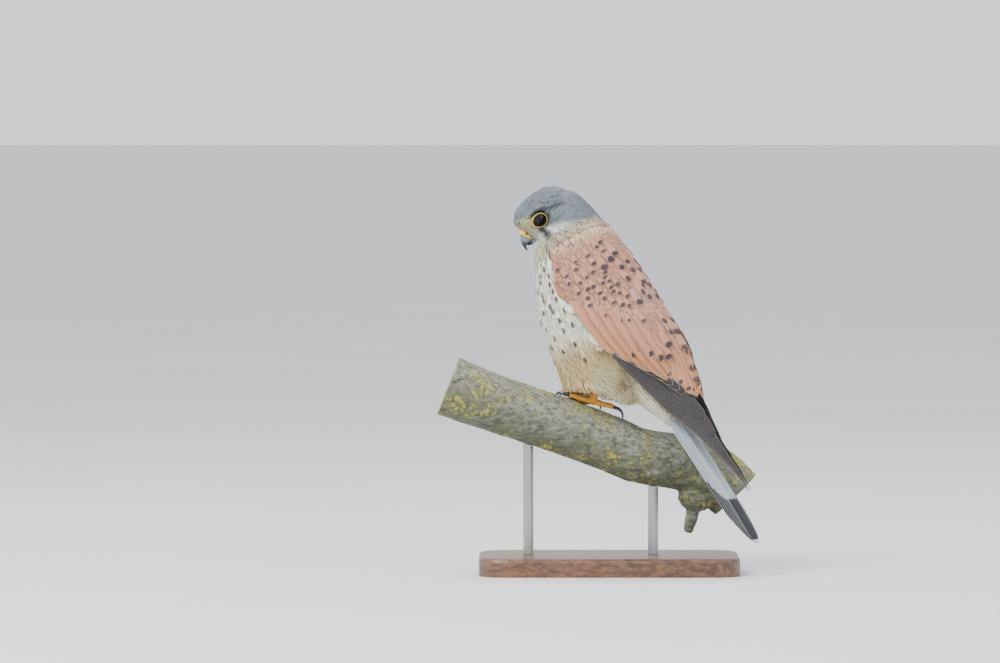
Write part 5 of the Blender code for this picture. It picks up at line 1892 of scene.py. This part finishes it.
def make_floor():
    """Wide flat floor; the pale world behind it meets it at the horizon."""
    rings = [0.0, 0.5, 1.5, 4.0, 10.0, 30.0]
    points = [(0.0, 0.0, 0.0)]
    faces = []
    around = 48
    for ring, reach in enumerate(rings[1:]):
        for k in range(around):
            a = 2 * math.pi * k / around
            points.append((reach * math.cos(a), reach * math.sin(a), 0.0))
            here = 1 + ring * around + k
            beside = 1 + ring * around + (k + 1) % around
            if ring == 0:
                faces.append((0, here, beside))
            else:
                faces.append((here - around, here, beside, beside - around))
    mesh = bpy.data.meshes.new("studio_floor")
    mesh.from_pydata(points, [], faces)
    mesh.shade_smooth()
    floor = new_object("studio_floor", mesh)
    m = Nodes("floor_paint")
    place = m.place()
    soft = m.noise(place, 3.0, 4.0, 0.5)
    fine = m.noise(place, 260.0, 3.0, 0.6)
    m.colour(m.mix(soft, srgb(214, 216, 212), srgb(222, 223, 220)))
    m.rough(m.math("ADD", 0.75, m.math("MULTIPLY", fine, 0.15)))
    m.bump(fine, 0.08, 0.0005)
    mesh.materials.append(m.material)


def area_light(name, place, aim, size, power, colour=(1, 1, 1)):
    data = bpy.data.lights.new(name, "AREA")
    data.shape = "DISK"
    data.size = size
    data.energy = power
    data.color = colour
    made = new_object(name, data)
    made.location = Vector(place)
    made.rotation_euler = (Vector(aim) - Vector(place)).to_track_quat("-Z", "Y").to_euler()


def make_view():
    world = bpy.data.worlds.new("studio")
    bpy.context.scene.world = world
    world.use_nodes = True
    back = world.node_tree.nodes["Background"]
    back.inputs[0].default_value = (0.86, 0.9, 0.95, 1)
    back.inputs[1].default_value = 1.35
    aim = Vector((0.0, 0.0, 0.18))
    left = -Vector(RIGHT)
    near = Vector((math.sin(TURN), -math.cos(TURN), 0.0))
    area_light("key", aim + left * 1.3 + near * 1.5 + Vector((0, 0, 1.9)), aim, 1.5, 92.0,
               (1.0, 0.98, 0.95))
    area_light("fill", aim - left * 1.8 + near * 1.6 + Vector((0, 0, 0.9)), aim, 1.8, 16.0)
    area_light("top", aim - near * 0.9 + Vector((0, 0, 2.2)), aim, 1.4, 26.0)
    data = bpy.data.cameras.new("view")
    data.sensor_width = 36.0
    data.lens = 36.0 * 6.0 / (1000.0 / UNIT * MM)
    data.clip_end = 60.0
    camera = new_object("view", data)
    middle_u = (500.0 - 609.0) / UNIT
    middle_v = (402.0 - 331.5) / UNIT
    target = (CREST + RIGHT * middle_u + UPWARD * middle_v) * MM
    spot = target - AWAY * 6.0
    camera.matrix_world = matrix_of(RIGHT, UPWARD, -AWAY, spot)
    bpy.context.scene.camera = camera


def matrix_of(x, y, z, place):
    made = bpy.data.objects.new("turn", None).matrix_world.copy()
    for row in range(3):
        made[row][0] = x[row]
        made[row][1] = y[row]
        made[row][2] = z[row]
        made[row][3] = place[row]
    return made


make_floor()
make_view()


bpy.context.view_layer.update()
bpy.context.view_layer.update()
for made in pieces:
    made.data.calc_loop_triangles()
    print("PIECE", made.name, len(made.data.loop_triangles))
